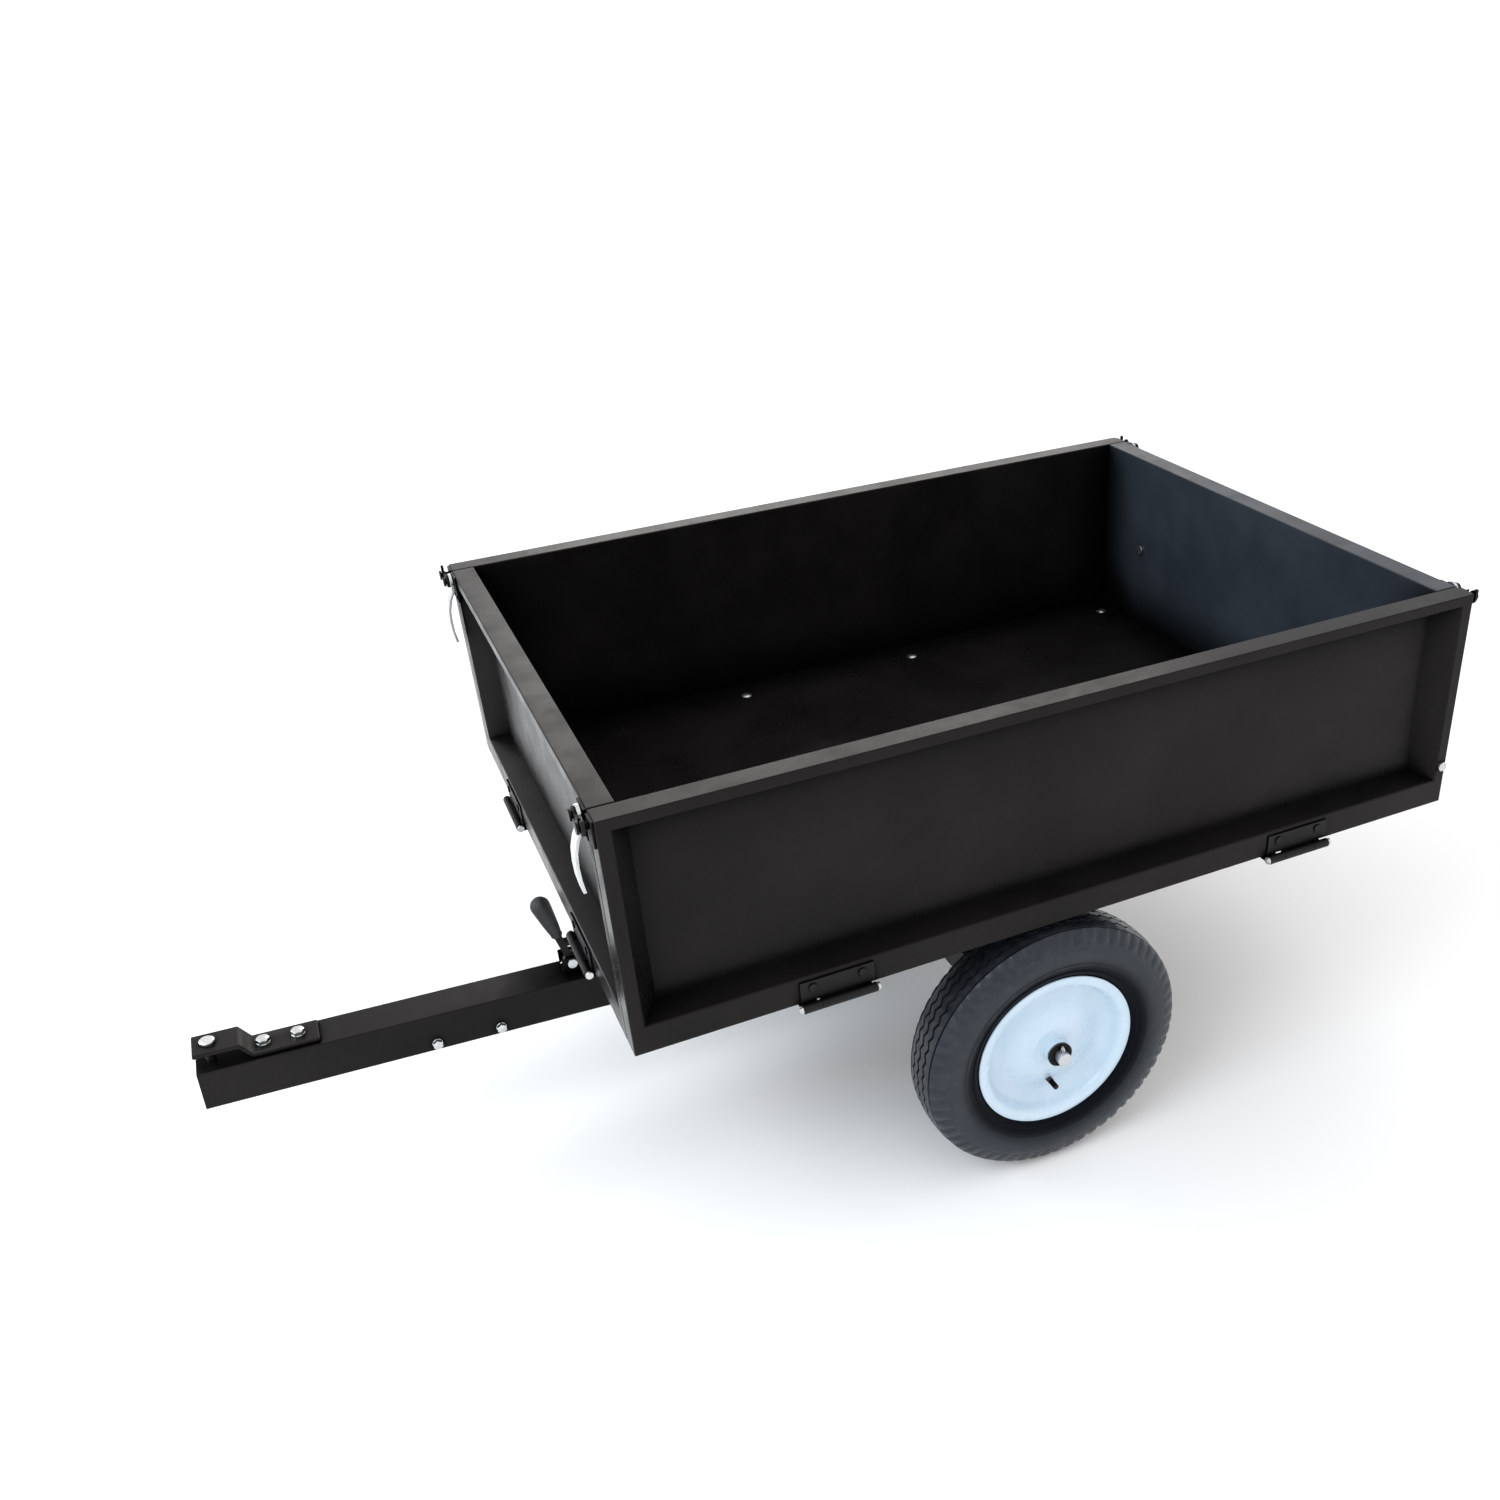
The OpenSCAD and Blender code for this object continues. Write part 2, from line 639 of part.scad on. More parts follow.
// ---- tipping pivot ----
module pivot_ears() color(black) placed() both_sides() difference() {
    top = wheel_r + beam_w / 2;
    union() {
        translate([0, -ear_y, 0]) rotate([90, 0, 0]) linear_extrude(lug_t)
            polygon([[axle_x - beam_w / 2, top], [axle_x + beam_w / 2, top],
                     [pivot_x + boss_r * 0.8, pivot_z - boss_r / 2],
                     [pivot_x - boss_r * 0.8, pivot_z + boss_r / 2]]);
        rod_y(boss_r, -ear_y - lug_t, -ear_y, pivot_x, pivot_z);
    }
    rod_y(pivot_r, -half_w, 0, pivot_x, pivot_z);
}

module pivot_pins() color(zinc) placed() both_sides() {
    rod_y(pivot_r, -ear_y - lug_t, -lug_y + 8, pivot_x, pivot_z);
    rod_y(pivot_r + 5, -ear_y - lug_t - 6, -ear_y - lug_t, pivot_x, pivot_z);
    rod_y(pivot_r + 4, -lug_y + 2, -lug_y + 8, pivot_x, pivot_z);
}

// ---- drawbar ----
half_bar = bar_w / 2;
hitch_hole = hitch_pin_r + 0.25;
strap_l = 155;

module drawbar_block() {
    on_bar() box([-1, -half_bar, -half_bar], [bar_len + 1, half_bar, half_bar]);
}

gusset_xs = [-150, -95];
gusset_bolt_z = wheel_r - 11;

module drawbar() color(black) placed() difference() {
    on_bar() difference() {
        box([0, -half_bar, -half_bar], [bar_len, half_bar, half_bar]);
        box([-1, -half_bar + bar_t, -half_bar + bar_t],
            [bar_len + 1, half_bar - bar_t, half_bar - bar_t]);
        translate([pin_in, 0, -bar_w]) cylinder(r = hitch_hole, h = 2 * bar_w);
        for (x = jaw_bolts) translate([x, 0, -bar_w]) cylinder(r = 5, h = 2 * bar_w);
        for (x = side_bolts) rod_y(4, -bar_w, bar_w, x, -half_bar + 12);
    }
    for (x = gusset_xs) rod_y(5, -bar_w, bar_w, x, gusset_bolt_z);
}

// plug in the open rear end of the tube
module drawbar_cap() color(rubber) placed() on_bar()
    box([bar_len - 14, -half_bar + bar_t, -half_bar + bar_t],
        [bar_len, half_bar - bar_t, half_bar - bar_t]);

module drawbar_gussets() color(black) placed() both_sides() difference() {
    box([-188, -half_bar - 6, wheel_r - beam_w / 2 - 12],
        [axle_x - beam_w / 2, -half_bar, wheel_r + beam_w / 2]);
    for (x = gusset_xs) rod_y(5, -bar_w, bar_w, x, gusset_bolt_z);
}

module through_bolt(r, x, z, half) {
    rod_y(r, -half - 9, half + 9, x, z);
    translate([x, -half, z]) rotate([90, 0, 0]) cylinder(r = r * 1.8, h = 6, $fn = 6);
    translate([x, half + 6, z]) rotate([90, 0, 0]) cylinder(r = r * 1.8, h = 6, $fn = 6);
}

module drawbar_bolts() color(zinc) placed() {
    for (x = gusset_xs) through_bolt(5, x, gusset_bolt_z, half_bar + 6);
    on_bar() for (x = side_bolts) through_bolt(4, x, -half_bar + 12, half_bar);
}

// upper jaw of the clevis, bent up from a flat strap
module hitch_strap() color(black) placed() on_bar() difference() {
    low = half_bar;
    high = half_bar + clevis_gap;
    rotate([90, 0, 0]) translate([0, 0, -jaw_w / 2]) linear_extrude(jaw_w)
        polygon([[0, high], [jaw_l, high], [jaw_l + 14, low], [strap_l, low],
                 [strap_l, low + jaw_t], [jaw_l + 16, low + jaw_t],
                 [jaw_l + 2, high + jaw_t], [0, high + jaw_t]]);
    translate([pin_in, 0, 0]) cylinder(r = hitch_hole, h = 3 * bar_w);
    for (x = jaw_bolts) translate([x, 0, 0]) cylinder(r = 5, h = 3 * bar_w);
}

module hitch_bolts() color(zinc) placed() on_bar() for (x = jaw_bolts) translate([x, 0, 0]) {
    translate([0, 0, -half_bar - 9]) cylinder(r = 5, h = bar_w + jaw_t + 9);
    translate([0, 0, half_bar + jaw_t]) cylinder(r = 9, h = 6, $fn = 6);
    translate([0, 0, -half_bar - 6]) cylinder(r = 9, h = 6, $fn = 6);
}

// drop pin; it ends inside the lower wall of the drawbar
module hitch_pin() color(zinc) placed() on_bar() translate([pin_in, 0, 0]) {
    head_z = half_bar + clevis_gap + jaw_t;
    translate([0, 0, -half_bar + 1]) cylinder(r = hitch_pin_r, h = head_z + half_bar - 1);
    translate([0, 0, head_z]) cylinder(r = hitch_pin_r + 3.5, h = 6);
}

// ---- bed rest and release lever ----
post_w = 26;
pad_t = 4;
module bed_rest() color(black) placed() {
    x0 = post_x - post_w / 2;
    x1 = post_x + post_w / 2;
    top = cross_z - pad_t;
    difference() {
        box([x0, -20, wheel_r], [x1, 20, top - plate_t]);
        box([x0 + plate_t, -20 + plate_t, wheel_r - 1], [x1 - plate_t, 20 - plate_t, top]);
        drawbar_block();
    }
    box([x0, -30, top - plate_t], [x1, 30, top]);
}

module rest_pad() color(rubber) placed()
    box([post_x - post_w / 2, -30, cross_z - pad_t], [post_x + post_w / 2, 30, cross_z]);

bracket_in = lever_y + 1;
spring_w = 10;
module lever_bracket() color(black) placed() difference() {
    union() {
        box([lever_x - 14, -bracket_in - plate_t, bar_z - bar_w],
            [lever_x + 14, -bracket_in, lever_z + 8]);
        box([lever_x - 14, bracket_in + spring_w, bar_z - bar_w],
            [lever_x + 14, bracket_in + spring_w + plate_t, lever_z + 8]);
        box([lever_x - 14, -bracket_in, bar_z - bar_w],
            [lever_x + 14, bracket_in + spring_w, lever_z - 14]);
    }
    drawbar_block();
    translate([0, 0, -bar_w]) drawbar_block();
    rod_y(stud_r, -bar_w, bar_w, lever_x, lever_z);
}

module lever_pivot() color(zinc) placed() {
    rod_y(stud_r, -bracket_in - plate_t, bracket_in + spring_w + plate_t, lever_x, lever_z);
    rod_y(stud_r + 3, -bracket_in - plate_t - 4, -bracket_in - plate_t, lever_x, lever_z);
    rod_y(stud_r + 3, bracket_in + spring_w + plate_t, bracket_in + spring_w + plate_t + 4,
          lever_x, lever_z);
}

// torsion spring on the lever's pivot, as its turns
module lever_spring() color(zinc) placed() translate([lever_x, 0, lever_z])
    for (i = [0 : 3]) translate([0, bracket_in + 1 + 2.3 * i, 0]) rotate([90, 0, 0])
        rotate_extrude() translate([stud_r + 1.7, 0]) circle(r = 1);

// flat bar, extruded along the pivot's axis
module lever_arm() {
    translate([0, lever_y, 0]) rotate([90, 0, 0]) linear_extrude(2 * lever_y)
        rotate(lever_lean) translate([-5, 0]) square([10, lever_l - 10]);
}

module release_lever() color(dark) placed() translate([lever_x, 0, lever_z]) difference() {
    union() {
        rod_y(10, -lever_y, lever_y, 0, 0);
        lever_arm();
        box([-8, -lever_y, nose_up - 3], [30, lever_y, nose_up + 5]);
    }
    rod_y(stud_r + fit, -bar_w, bar_w, 0, 0);
}

grip_r = 14;
module lever_grip() color(rubber) placed() translate([lever_x, 0, lever_z]) difference() {
    rotate([0, -lever_lean, 0]) {
        translate([0, 0, 46]) cylinder(r1 = 7.5, r2 = grip_r, h = lever_l - 54);
        translate([0, 0, lever_l - 8]) sphere(r = grip_r);
    }
    lever_arm();
}

// ---- draw ----
bed_floor();
bed_cross_members();
bed_rails();
floor_bolts();
pivot_lugs();
bed_hinge_leaves();
hinge_pins();
tip_strike();
near_side_panel();
near_hinge_leaves();
near_keepers();
near_lip_bolt();
far_side_panel();
far_hinge_leaves();
far_keepers();
far_lip_bolt();
front_panel();
front_hinge_leaves();
front_latch_bases();
tailgate();
tailgate_hinge_leaves();
tailgate_latch_bases();
tailgate_bolts();
latch_lever_front_near();
latch_claw_front_near();
latch_lever_front_far();
latch_claw_front_far();
latch_lever_rear_near();
latch_claw_rear_near();
latch_lever_rear_far();
latch_claw_rear_far();
near_tyre();
near_rim();
near_bushes();
near_valve();
far_tyre();
far_rim();
far_bushes();
far_valve();
axle_shaft();
axle_beam();
axle_washers();
cotter_pins();
pivot_ears();
pivot_pins();
drawbar();
drawbar_cap();
drawbar_gussets();
drawbar_bolts();
hitch_strap();
hitch_bolts();
hitch_pin();
bed_rest();
rest_pad();
lever_bracket();
lever_pivot();
lever_spring();
release_lever();
lever_grip();
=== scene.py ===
"""Looks of a tow-behind dump cart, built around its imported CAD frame. Metres."""
import json
import math

import bmesh
import bpy
from mathutils import Matrix, Vector

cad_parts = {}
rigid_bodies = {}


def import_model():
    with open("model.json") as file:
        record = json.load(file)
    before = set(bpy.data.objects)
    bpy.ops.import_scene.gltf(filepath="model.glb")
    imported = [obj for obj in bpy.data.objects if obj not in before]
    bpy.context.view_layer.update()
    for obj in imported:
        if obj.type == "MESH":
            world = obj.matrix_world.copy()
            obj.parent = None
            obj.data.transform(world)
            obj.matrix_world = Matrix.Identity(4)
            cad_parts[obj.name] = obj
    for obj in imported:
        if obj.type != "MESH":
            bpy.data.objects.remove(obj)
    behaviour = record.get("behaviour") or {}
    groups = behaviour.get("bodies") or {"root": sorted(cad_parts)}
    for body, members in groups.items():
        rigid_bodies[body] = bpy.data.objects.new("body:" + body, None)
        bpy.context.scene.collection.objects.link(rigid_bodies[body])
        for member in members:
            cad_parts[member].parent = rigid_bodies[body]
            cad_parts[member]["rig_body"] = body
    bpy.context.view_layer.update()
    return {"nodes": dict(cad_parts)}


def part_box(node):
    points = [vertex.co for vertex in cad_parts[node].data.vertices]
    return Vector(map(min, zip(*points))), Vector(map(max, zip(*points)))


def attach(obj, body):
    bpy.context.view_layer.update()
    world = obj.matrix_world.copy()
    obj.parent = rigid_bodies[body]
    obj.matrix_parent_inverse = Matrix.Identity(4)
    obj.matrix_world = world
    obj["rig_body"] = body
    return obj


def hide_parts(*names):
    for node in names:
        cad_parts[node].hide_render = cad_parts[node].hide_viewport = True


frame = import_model()
NODES = frame["nodes"]
scene = bpy.context.scene
MM = 0.001


# ---- camera: the photograph's viewpoint, from the corners of the bed ----
FRAME_PX = 1500
FOCAL_PX = 1426.31
CENTRE_PX = (884.29, 809.68)
CAM_FROM_BED = (-0.80699, -1.71758, 1.44606)   # from the ground under the bed's middle
CAM_AZ, CAM_EL, CAM_ROLL = -0.39979, 0.53307, -0.05759


def make_camera():
    """A camera at the viewpoint that the corners of the bed give."""
    ca, sa, ce, se = math.cos(CAM_AZ), math.sin(CAM_AZ), math.cos(CAM_EL), math.sin(CAM_EL)
    back = Vector((sa * ce, -ca * ce, se))
    right = (-back).cross(Vector((0, 0, 1))).normalized()
    up = right.cross(-back)
    c, s = math.cos(CAM_ROLL), math.sin(CAM_ROLL)
    x_axis, y_axis = c * right + s * up, c * up - s * right
    cam = bpy.data.cameras.new("camera")
    cam.sensor_width = 36
    cam.lens = 36 * FOCAL_PX / FRAME_PX
    cam.shift_x = (FRAME_PX / 2 - CENTRE_PX[0]) / FRAME_PX
    cam.shift_y = (CENTRE_PX[1] - FRAME_PX / 2) / FRAME_PX
    ob = bpy.data.objects.new("camera", cam)
    scene.collection.objects.link(ob)
    turn = Matrix((x_axis, y_axis, back)).transposed().to_4x4()
    bed_x = sum(c.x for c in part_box("near_side_panel")) / 2
    ob.matrix_world = Matrix.Translation(Vector(CAM_FROM_BED) + Vector((bed_x, 0, 0))) @ turn
    scene.camera = ob


make_camera()


# ---- materials ----
class Nodes:
    """A material's node tree, with short calls for the nodes that repeat."""

    def __init__(self, name):
        self.mat = bpy.data.materials.new(name)
        self.mat.use_nodes = True
        self.tree = self.mat.node_tree
        self.bsdf = self.tree.nodes["Principled BSDF"]
        self.coord = self.new("ShaderNodeTexCoord").outputs["Object"]

    def new(self, kind, **props):
        n = self.tree.nodes.new(kind)
        for key, value in props.items():
            setattr(n, key, value)
        return n

    def link(self, a, b):
        self.tree.links.new(a, b)

    def noise(self, scale, detail=3.0, rough=0.5, stretch=None, distort=0.0):
        n = self.new("ShaderNodeTexNoise")
        n.inputs["Scale"].default_value = scale
        n.inputs["Detail"].default_value = detail
        n.inputs["Roughness"].default_value = rough
        n.inputs["Distortion"].default_value = distort
        src = self.coord
        if stretch:
            m = self.new("ShaderNodeMapping")
            m.inputs["Scale"].default_value = stretch
            self.link(src, m.inputs["Vector"])
            src = m.outputs["Vector"]
        self.link(src, n.inputs["Vector"])
        return n.outputs["Fac"]

    def ramp(self, fac, lo, hi, out_lo=0.0, out_hi=1.0):
        n = self.new("ShaderNodeMapRange", interpolation_type="SMOOTHSTEP")
        for key, value in (("From Min", lo), ("From Max", hi),
                           ("To Min", out_lo), ("To Max", out_hi)):
            n.inputs[key].default_value = value
        self.link(fac, n.inputs["Value"])
        return n.outputs["Result"]

    def mix(self, fac, a, b):
        n = self.new("ShaderNodeMix", data_type="RGBA")
        self.link(fac, n.inputs["Factor"])
        for socket, value in ((n.inputs[6], a), (n.inputs[7], b)):
            if isinstance(value, tuple):
                socket.default_value = (*value, 1.0)
            else:
                self.link(value, socket)
        return n.outputs[2]

    def math(self, op, a, b):
        n = self.new("ShaderNodeMath", operation=op)
        for socket, value in zip(n.inputs, (a, b)):
            if isinstance(value, (int, float)):
                socket.default_value = value
            else:
                self.link(value, socket)
        return n.outputs[0]

    def bump(self, height, distance, strength=1.0, normal=None):
        n = self.new("ShaderNodeBump")
        n.inputs["Strength"].default_value = strength
        n.inputs["Distance"].default_value = distance
        self.link(height, n.inputs["Height"])
        if normal:
            self.link(normal, n.inputs["Normal"])
        return n.outputs["Normal"]

    def edges(self, radius):
        """1 at convex and concave edges, 0 on flat faces."""
        b = self.new("ShaderNodeBevel", samples=4)
        b.inputs["Radius"].default_value = radius
        g = self.new("ShaderNodeNewGeometry")
        d = self.new("ShaderNodeVectorMath", operation="DOT_PRODUCT")
        self.link(b.outputs["Normal"], d.inputs[0])
        self.link(g.outputs["Normal"], d.inputs[1])
        return self.ramp(d.outputs["Value"], 0.995, 0.90)

    def painted_shade_ao(self, reach):
        """1 on open faces, down to 0 deep in a corner; used to paint shade into corners and
        recesses.
        """
        n = self.new("ShaderNodeAmbientOcclusion", samples=6)
        n.inputs["Distance"].default_value = reach
        return self.ramp(n.outputs["AO"], 0.58, 0.99)

    def axle_distance(self, x, z):
        """Distance from the wheels' axle, in metres."""
        p = self.new("ShaderNodeSeparateXYZ")
        self.link(self.coord, p.inputs[0])
        dx, dz = (self.math("SUBTRACT", p.outputs[i], c) for i, c in ((0, x), (2, z)))
        square = self.math("ADD", self.math("MULTIPLY", dx, dx), self.math("MULTIPLY", dz, dz))
        return self.math("SQRT", square, 0.0)

    def set(self, **values):
        for key, value in values.items():
            socket = self.bsdf.inputs[key.replace("_", " ")]
            if hasattr(value, "is_linked"):
                self.link(value, socket)
            elif isinstance(value, tuple):
                socket.default_value = (*value, 1.0)
            else:
                socket.default_value = value
        return self.mat


PAINTED_SHADE_REACH = 0.10              # how far the painted shade reaches out of a corner, metres


def powder_coat(name, dark, light, rough_lo, rough_hi, gloss):
    """Stoved powder coat: orange peel, cloudy gloss, faint dust, edges lightened as rubbed wear
    and painted highlight, and painted shade in corners.
    """
    m = Nodes(name)
    cloud = m.noise(7, 5, 0.6)
    speck = m.noise(650, 2, 0.6)
    colour = m.mix(m.ramp(cloud, 0.35, 0.7), dark, light)
    dusty = m.math("MULTIPLY", m.ramp(m.noise(38, 6, 0.7), 0.5, 0.8), m.ramp(speck, 0.5, 0.7))
    colour = m.mix(m.math("MULTIPLY", dusty, 0.05), colour, (0.06, 0.056, 0.053))
    # edges lightened: partly rubbed wear, partly a painted highlight along the edges
    edge_wear_and_highlight = m.math("MULTIPLY", m.edges(0.0012), m.ramp(m.noise(90, 4, 0.7), 0.4, 0.75))
    colour = m.mix(m.math("MULTIPLY", edge_wear_and_highlight, 0.3), colour, (0.14, 0.132, 0.125))
    peel = m.bump(m.noise(420, 1.5, 0.45), 0.00003)
    wave = m.bump(m.noise(6, 1, 0.3), 0.0008, 0.4, peel)
    rough = m.ramp(m.noise(16, 6, 0.65), 0.3, 0.75, rough_lo, rough_hi)
    # painted shade: corners and recesses are darkened and their gloss turned down
    painted_shade_ao = m.painted_shade_ao(PAINTED_SHADE_REACH)
    colour = m.mix(painted_shade_ao, (0.0018, 0.0016, 0.0017), colour)
    level = m.ramp(painted_shade_ao, 0.0, 1.0, gloss * 0.12, gloss)
    return m.set(Base_Color=colour, Roughness=rough, Normal=wave, Specular_IOR_Level=level,
                 Specular_Tint=(1.0, 0.93, 0.90))


BLACK = powder_coat("black_powder_coat", (0.0050, 0.0044, 0.0044), (0.0085, 0.0076, 0.0074),
                    0.24, 0.40, 0.14)
# painted light: the tailgate gets a lighter, bluer and glossier copy of the black coat, standing
# in for the light its inner face catches
TAILGATE_LIT_COAT = powder_coat("tailgate_lit_powder_coat", (0.020, 0.026, 0.034), (0.028, 0.036, 0.046),
                    0.34, 0.5, 0.28)
DARK = powder_coat("dark_underframe_paint", (0.008, 0.0078, 0.0085), (0.013, 0.0125, 0.013),
                   0.36, 0.55, 0.18)


def plated(name, colour, tint, rough_lo, rough_hi, grain):
    """Plated steel with a cloudy bloom, dirt and a grain along one axis."""
    m = Nodes(name)
    bloom = m.ramp(m.noise(26, 5, 0.6), 0.35, 0.7)
    base = m.mix(bloom, colour, tint)
    dirt = m.ramp(m.noise(120, 6, 0.7), 0.55, 0.8)
    base = m.mix(m.math("MULTIPLY", dirt, 0.4), base, (0.22, 0.21, 0.20))
    rough = m.ramp(m.noise(60, 4, 0.6), 0.3, 0.7, rough_lo, rough_hi)
    brushed = m.bump(m.noise(500, 2, 0.5, grain), 0.00004)
    return m.set(Base_Color=base, Metallic=1.0, Roughness=rough, Normal=brushed)


ZINC = plated("zinc_plate", (0.66, 0.67, 0.69), (0.58, 0.59, 0.56), 0.24, 0.4, (1, 1, 0.08))
STEEL = plated("bright_steel", (0.72, 0.72, 0.73), (0.6, 0.6, 0.6), 0.2, 0.34, (0.1, 1, 1))


def enamel():
    """White stoved enamel of the rims, with a little road dust in the dish."""
    m = Nodes("white_enamel")
    cloud = m.ramp(m.noise(12, 4, 0.6), 0.3, 0.7)
    base = m.mix(cloud, (0.51, 0.645, 0.765), (0.56, 0.69, 0.80))
    dirt = m.math("MULTIPLY", m.ramp(m.noise(45, 8, 0.7), 0.52, 0.78), 0.2)
    base = m.mix(dirt, base, (0.36, 0.42, 0.47))
    rough = m.ramp(m.noise(22, 5, 0.6), 0.3, 0.75, 0.2, 0.36)
    peel = m.bump(m.noise(330, 1.5, 0.4), 0.00006)
    return m.set(Base_Color=base, Roughness=rough, Normal=peel,
                 Coat_Weight=0.35, Coat_Roughness=0.12)


RIM_SHADE_FROM, RIM_SHADE_TO = 0.126, 0.158    # radii over which the painted shade by the rim fades out


def rubber(name, dark, light, rough_lo, rough_hi, dust, axle=None):
    """Moulded rubber under a film of dust; axle is given for the tyres."""
    m = Nodes(name)
    base = m.mix(m.ramp(m.noise(30, 5, 0.6), 0.35, 0.7), dark, light)
    film = m.math("MULTIPLY", m.ramp(m.noise(75, 8, 0.72), 0.46, 0.74), dust)
    base = m.mix(film, base, (0.15, 0.148, 0.14))
    rough = m.ramp(m.noise(40, 5, 0.6), 0.3, 0.75, rough_lo, rough_hi)
    skin = m.bump(m.noise(900, 2, 0.6), 0.00008)
    if axle is None:
        return m.set(Base_Color=base, Roughness=rough, Normal=skin)
    # painted shade: towards the rim the sidewall is dust-free, darker and less glossy
    out = m.ramp(m.axle_distance(axle.x, axle.z), RIM_SHADE_FROM, RIM_SHADE_TO)
    base = m.mix(out, (0.0016, 0.0022, 0.004), base)
    level = m.ramp(out, 0.0, 1.0, 0.06, 0.5)
    return m.set(Base_Color=base, Roughness=rough, Normal=skin, Specular_IOR_Level=level,
                 Specular_Tint=(0.80, 0.88, 1.0))


AXLE = sum(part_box("near_tyre"), Vector()) / 2
TYRE = rubber("tyre_rubber", (0.006, 0.0075, 0.011), (0.010, 0.012, 0.016),
              0.3, 0.46, 0.1, AXLE)
GRIP = rubber("moulded_rubber", (0.010, 0.010, 0.011), (0.016, 0.016, 0.017),
              0.45, 0.65, 0.12)
NYLON = rubber("nylon", (0.05, 0.05, 0.052), (0.07, 0.07, 0.072), 0.35, 0.5, 0.1)
WHITE = enamel()

BY_SLOT = {
    "black_paint": BLACK,
    "dark_paint": DARK,
    "tyre_rubber": TYRE,
    "white_paint": WHITE,
    "black_rubber": GRIP,
    "nylon": NYLON,
    "zinc": ZINC,
}
# the tailgate's coat is a painted-light copy of the black coat
OWN = {"tailgate": TAILGATE_LIT_COAT, "axle_washers": DARK}   # nodes that differ from their slot


# ---- mesh helpers ----
def as_piece(name, bm, mat, body, *stands_for, sharp=38):
    """A new piece from bm, smooth except at edges sharper than that many degrees."""
    bmesh.ops.recalc_face_normals(bm, faces=bm.faces)
    mesh = bpy.data.meshes.new(name)
    bm.to_mesh(mesh)
    bm.free()
    mesh.materials.append(mat)
    mesh.polygons.foreach_set("use_smooth", [True] * len(mesh.polygons))
    mesh.set_sharp_from_angle(angle=math.radians(sharp))
    ob = bpy.data.objects.new(name, mesh)
    scene.collection.objects.link(ob)
    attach(ob, body)
    if stands_for:
        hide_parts(*stands_for)
    return ob


def fillet(points, radii, closed=True, steps=4):
    """A 2-D polygon with its corners rounded; radii has one number a corner."""
    out, n = [], len(points)
    for i, (p, r) in enumerate(zip(points, radii)):
        p = Vector(p)
        if r <= 0 or (not closed and i in (0, n - 1)):
            out.append(tuple(p))
            continue
        a, b = Vector(points[i - 1]) - p, Vector(points[(i + 1) % n]) - p
        la, lb = a.length, b.length
        a.normalize()
        b.normalize()
        half = a.angle(b) / 2
        if abs(half - math.pi / 2) < 0.01:
            out.append(tuple(p))
            continue
        cut = min(r / math.tan(half), 0.48 * la, 0.48 * lb)
        r = cut * math.tan(half)
        centre = p + (a + b).normalized() * (r / math.sin(half))
        start, end = p + a * cut - centre, p + b * cut - centre
        turn = start.angle_signed(end)
        for k in range(steps + 1):
            t = -turn * k / steps
            c, s = math.cos(t), math.sin(t)
            out.append((centre.x + c * start.x - s * start.y,
                        centre.y + s * start.x + c * start.y))
    return out


def frame_on(axis):
    """Two unit vectors square to axis."""
    axis = Vector(axis).normalized()
    side = Vector((0, 0, 1)) if abs(axis.z) < 0.9 else Vector((1, 0, 0))
    u = axis.cross(side).normalized()
    return u, axis.cross(u)


def lathe(bm, profile, at, axis, segs=48, shape=None):
    """Adds the closed profile [(along, radius)] turned about the axis through at. Metres."""
    axis = Vector(axis).normalized()
    u, v = frame_on(axis)
    rings = []
    for k in range(segs):
        a = 2 * math.pi * k / segs
        out = math.cos(a) * u + math.sin(a) * v
        ring = []
        for i, (h, r) in enumerate(profile):
            if shape:
                h, r = shape(i, a, h, r)
            ring.append(bm.verts.new(Vector(at) + axis * h + out * r))
        rings.append(ring)
    n = len(profile)
    for k in range(segs):
        a, b = rings[k], rings[(k + 1) % segs]
        for i in range(n):
            j = (i + 1) % n
            bm.faces.new((a[i], a[j], b[j], b[i]))


def turned(bm, profile, at, axis, segs=48):
    """As lathe, for a solid whose profile runs from the axis out and back to it."""
    axis = Vector(axis).normalized()
    u, v = frame_on(axis)
    first = bm.verts.new(Vector(at) + axis * profile[0][0])
    last = bm.verts.new(Vector(at) + axis * profile[-1][0])
    rings = []
    for k in range(segs):
        a = 2 * math.pi * k / segs
        out = math.cos(a) * u + math.sin(a) * v
        rings.append([bm.verts.new(Vector(at) + axis * h + out * r) for h, r in profile[1:-1]])
    for k in range(segs):
        a, b = rings[k], rings[(k + 1) % segs]
        bm.faces.new((first, a[0], b[0]))
        for i in range(len(a) - 1):
            bm.faces.new((a[i], a[i + 1], b[i + 1], b[i]))
        bm.faces.new((a[-1], last, b[-1]))


def rod(bm, a, b, r, chamfer=None, segs=24):
    """A round bar from a to b with chamfered ends."""
    a, b = Vector(a), Vector(b)
    c = r * 0.18 if chamfer is None else chamfer
    length = (b - a).length
    turned(bm, [(0, 0), (0, r - c), (c, r), (length - c, r), (length, r - c), (length, 0)],
           a, b - a, segs)


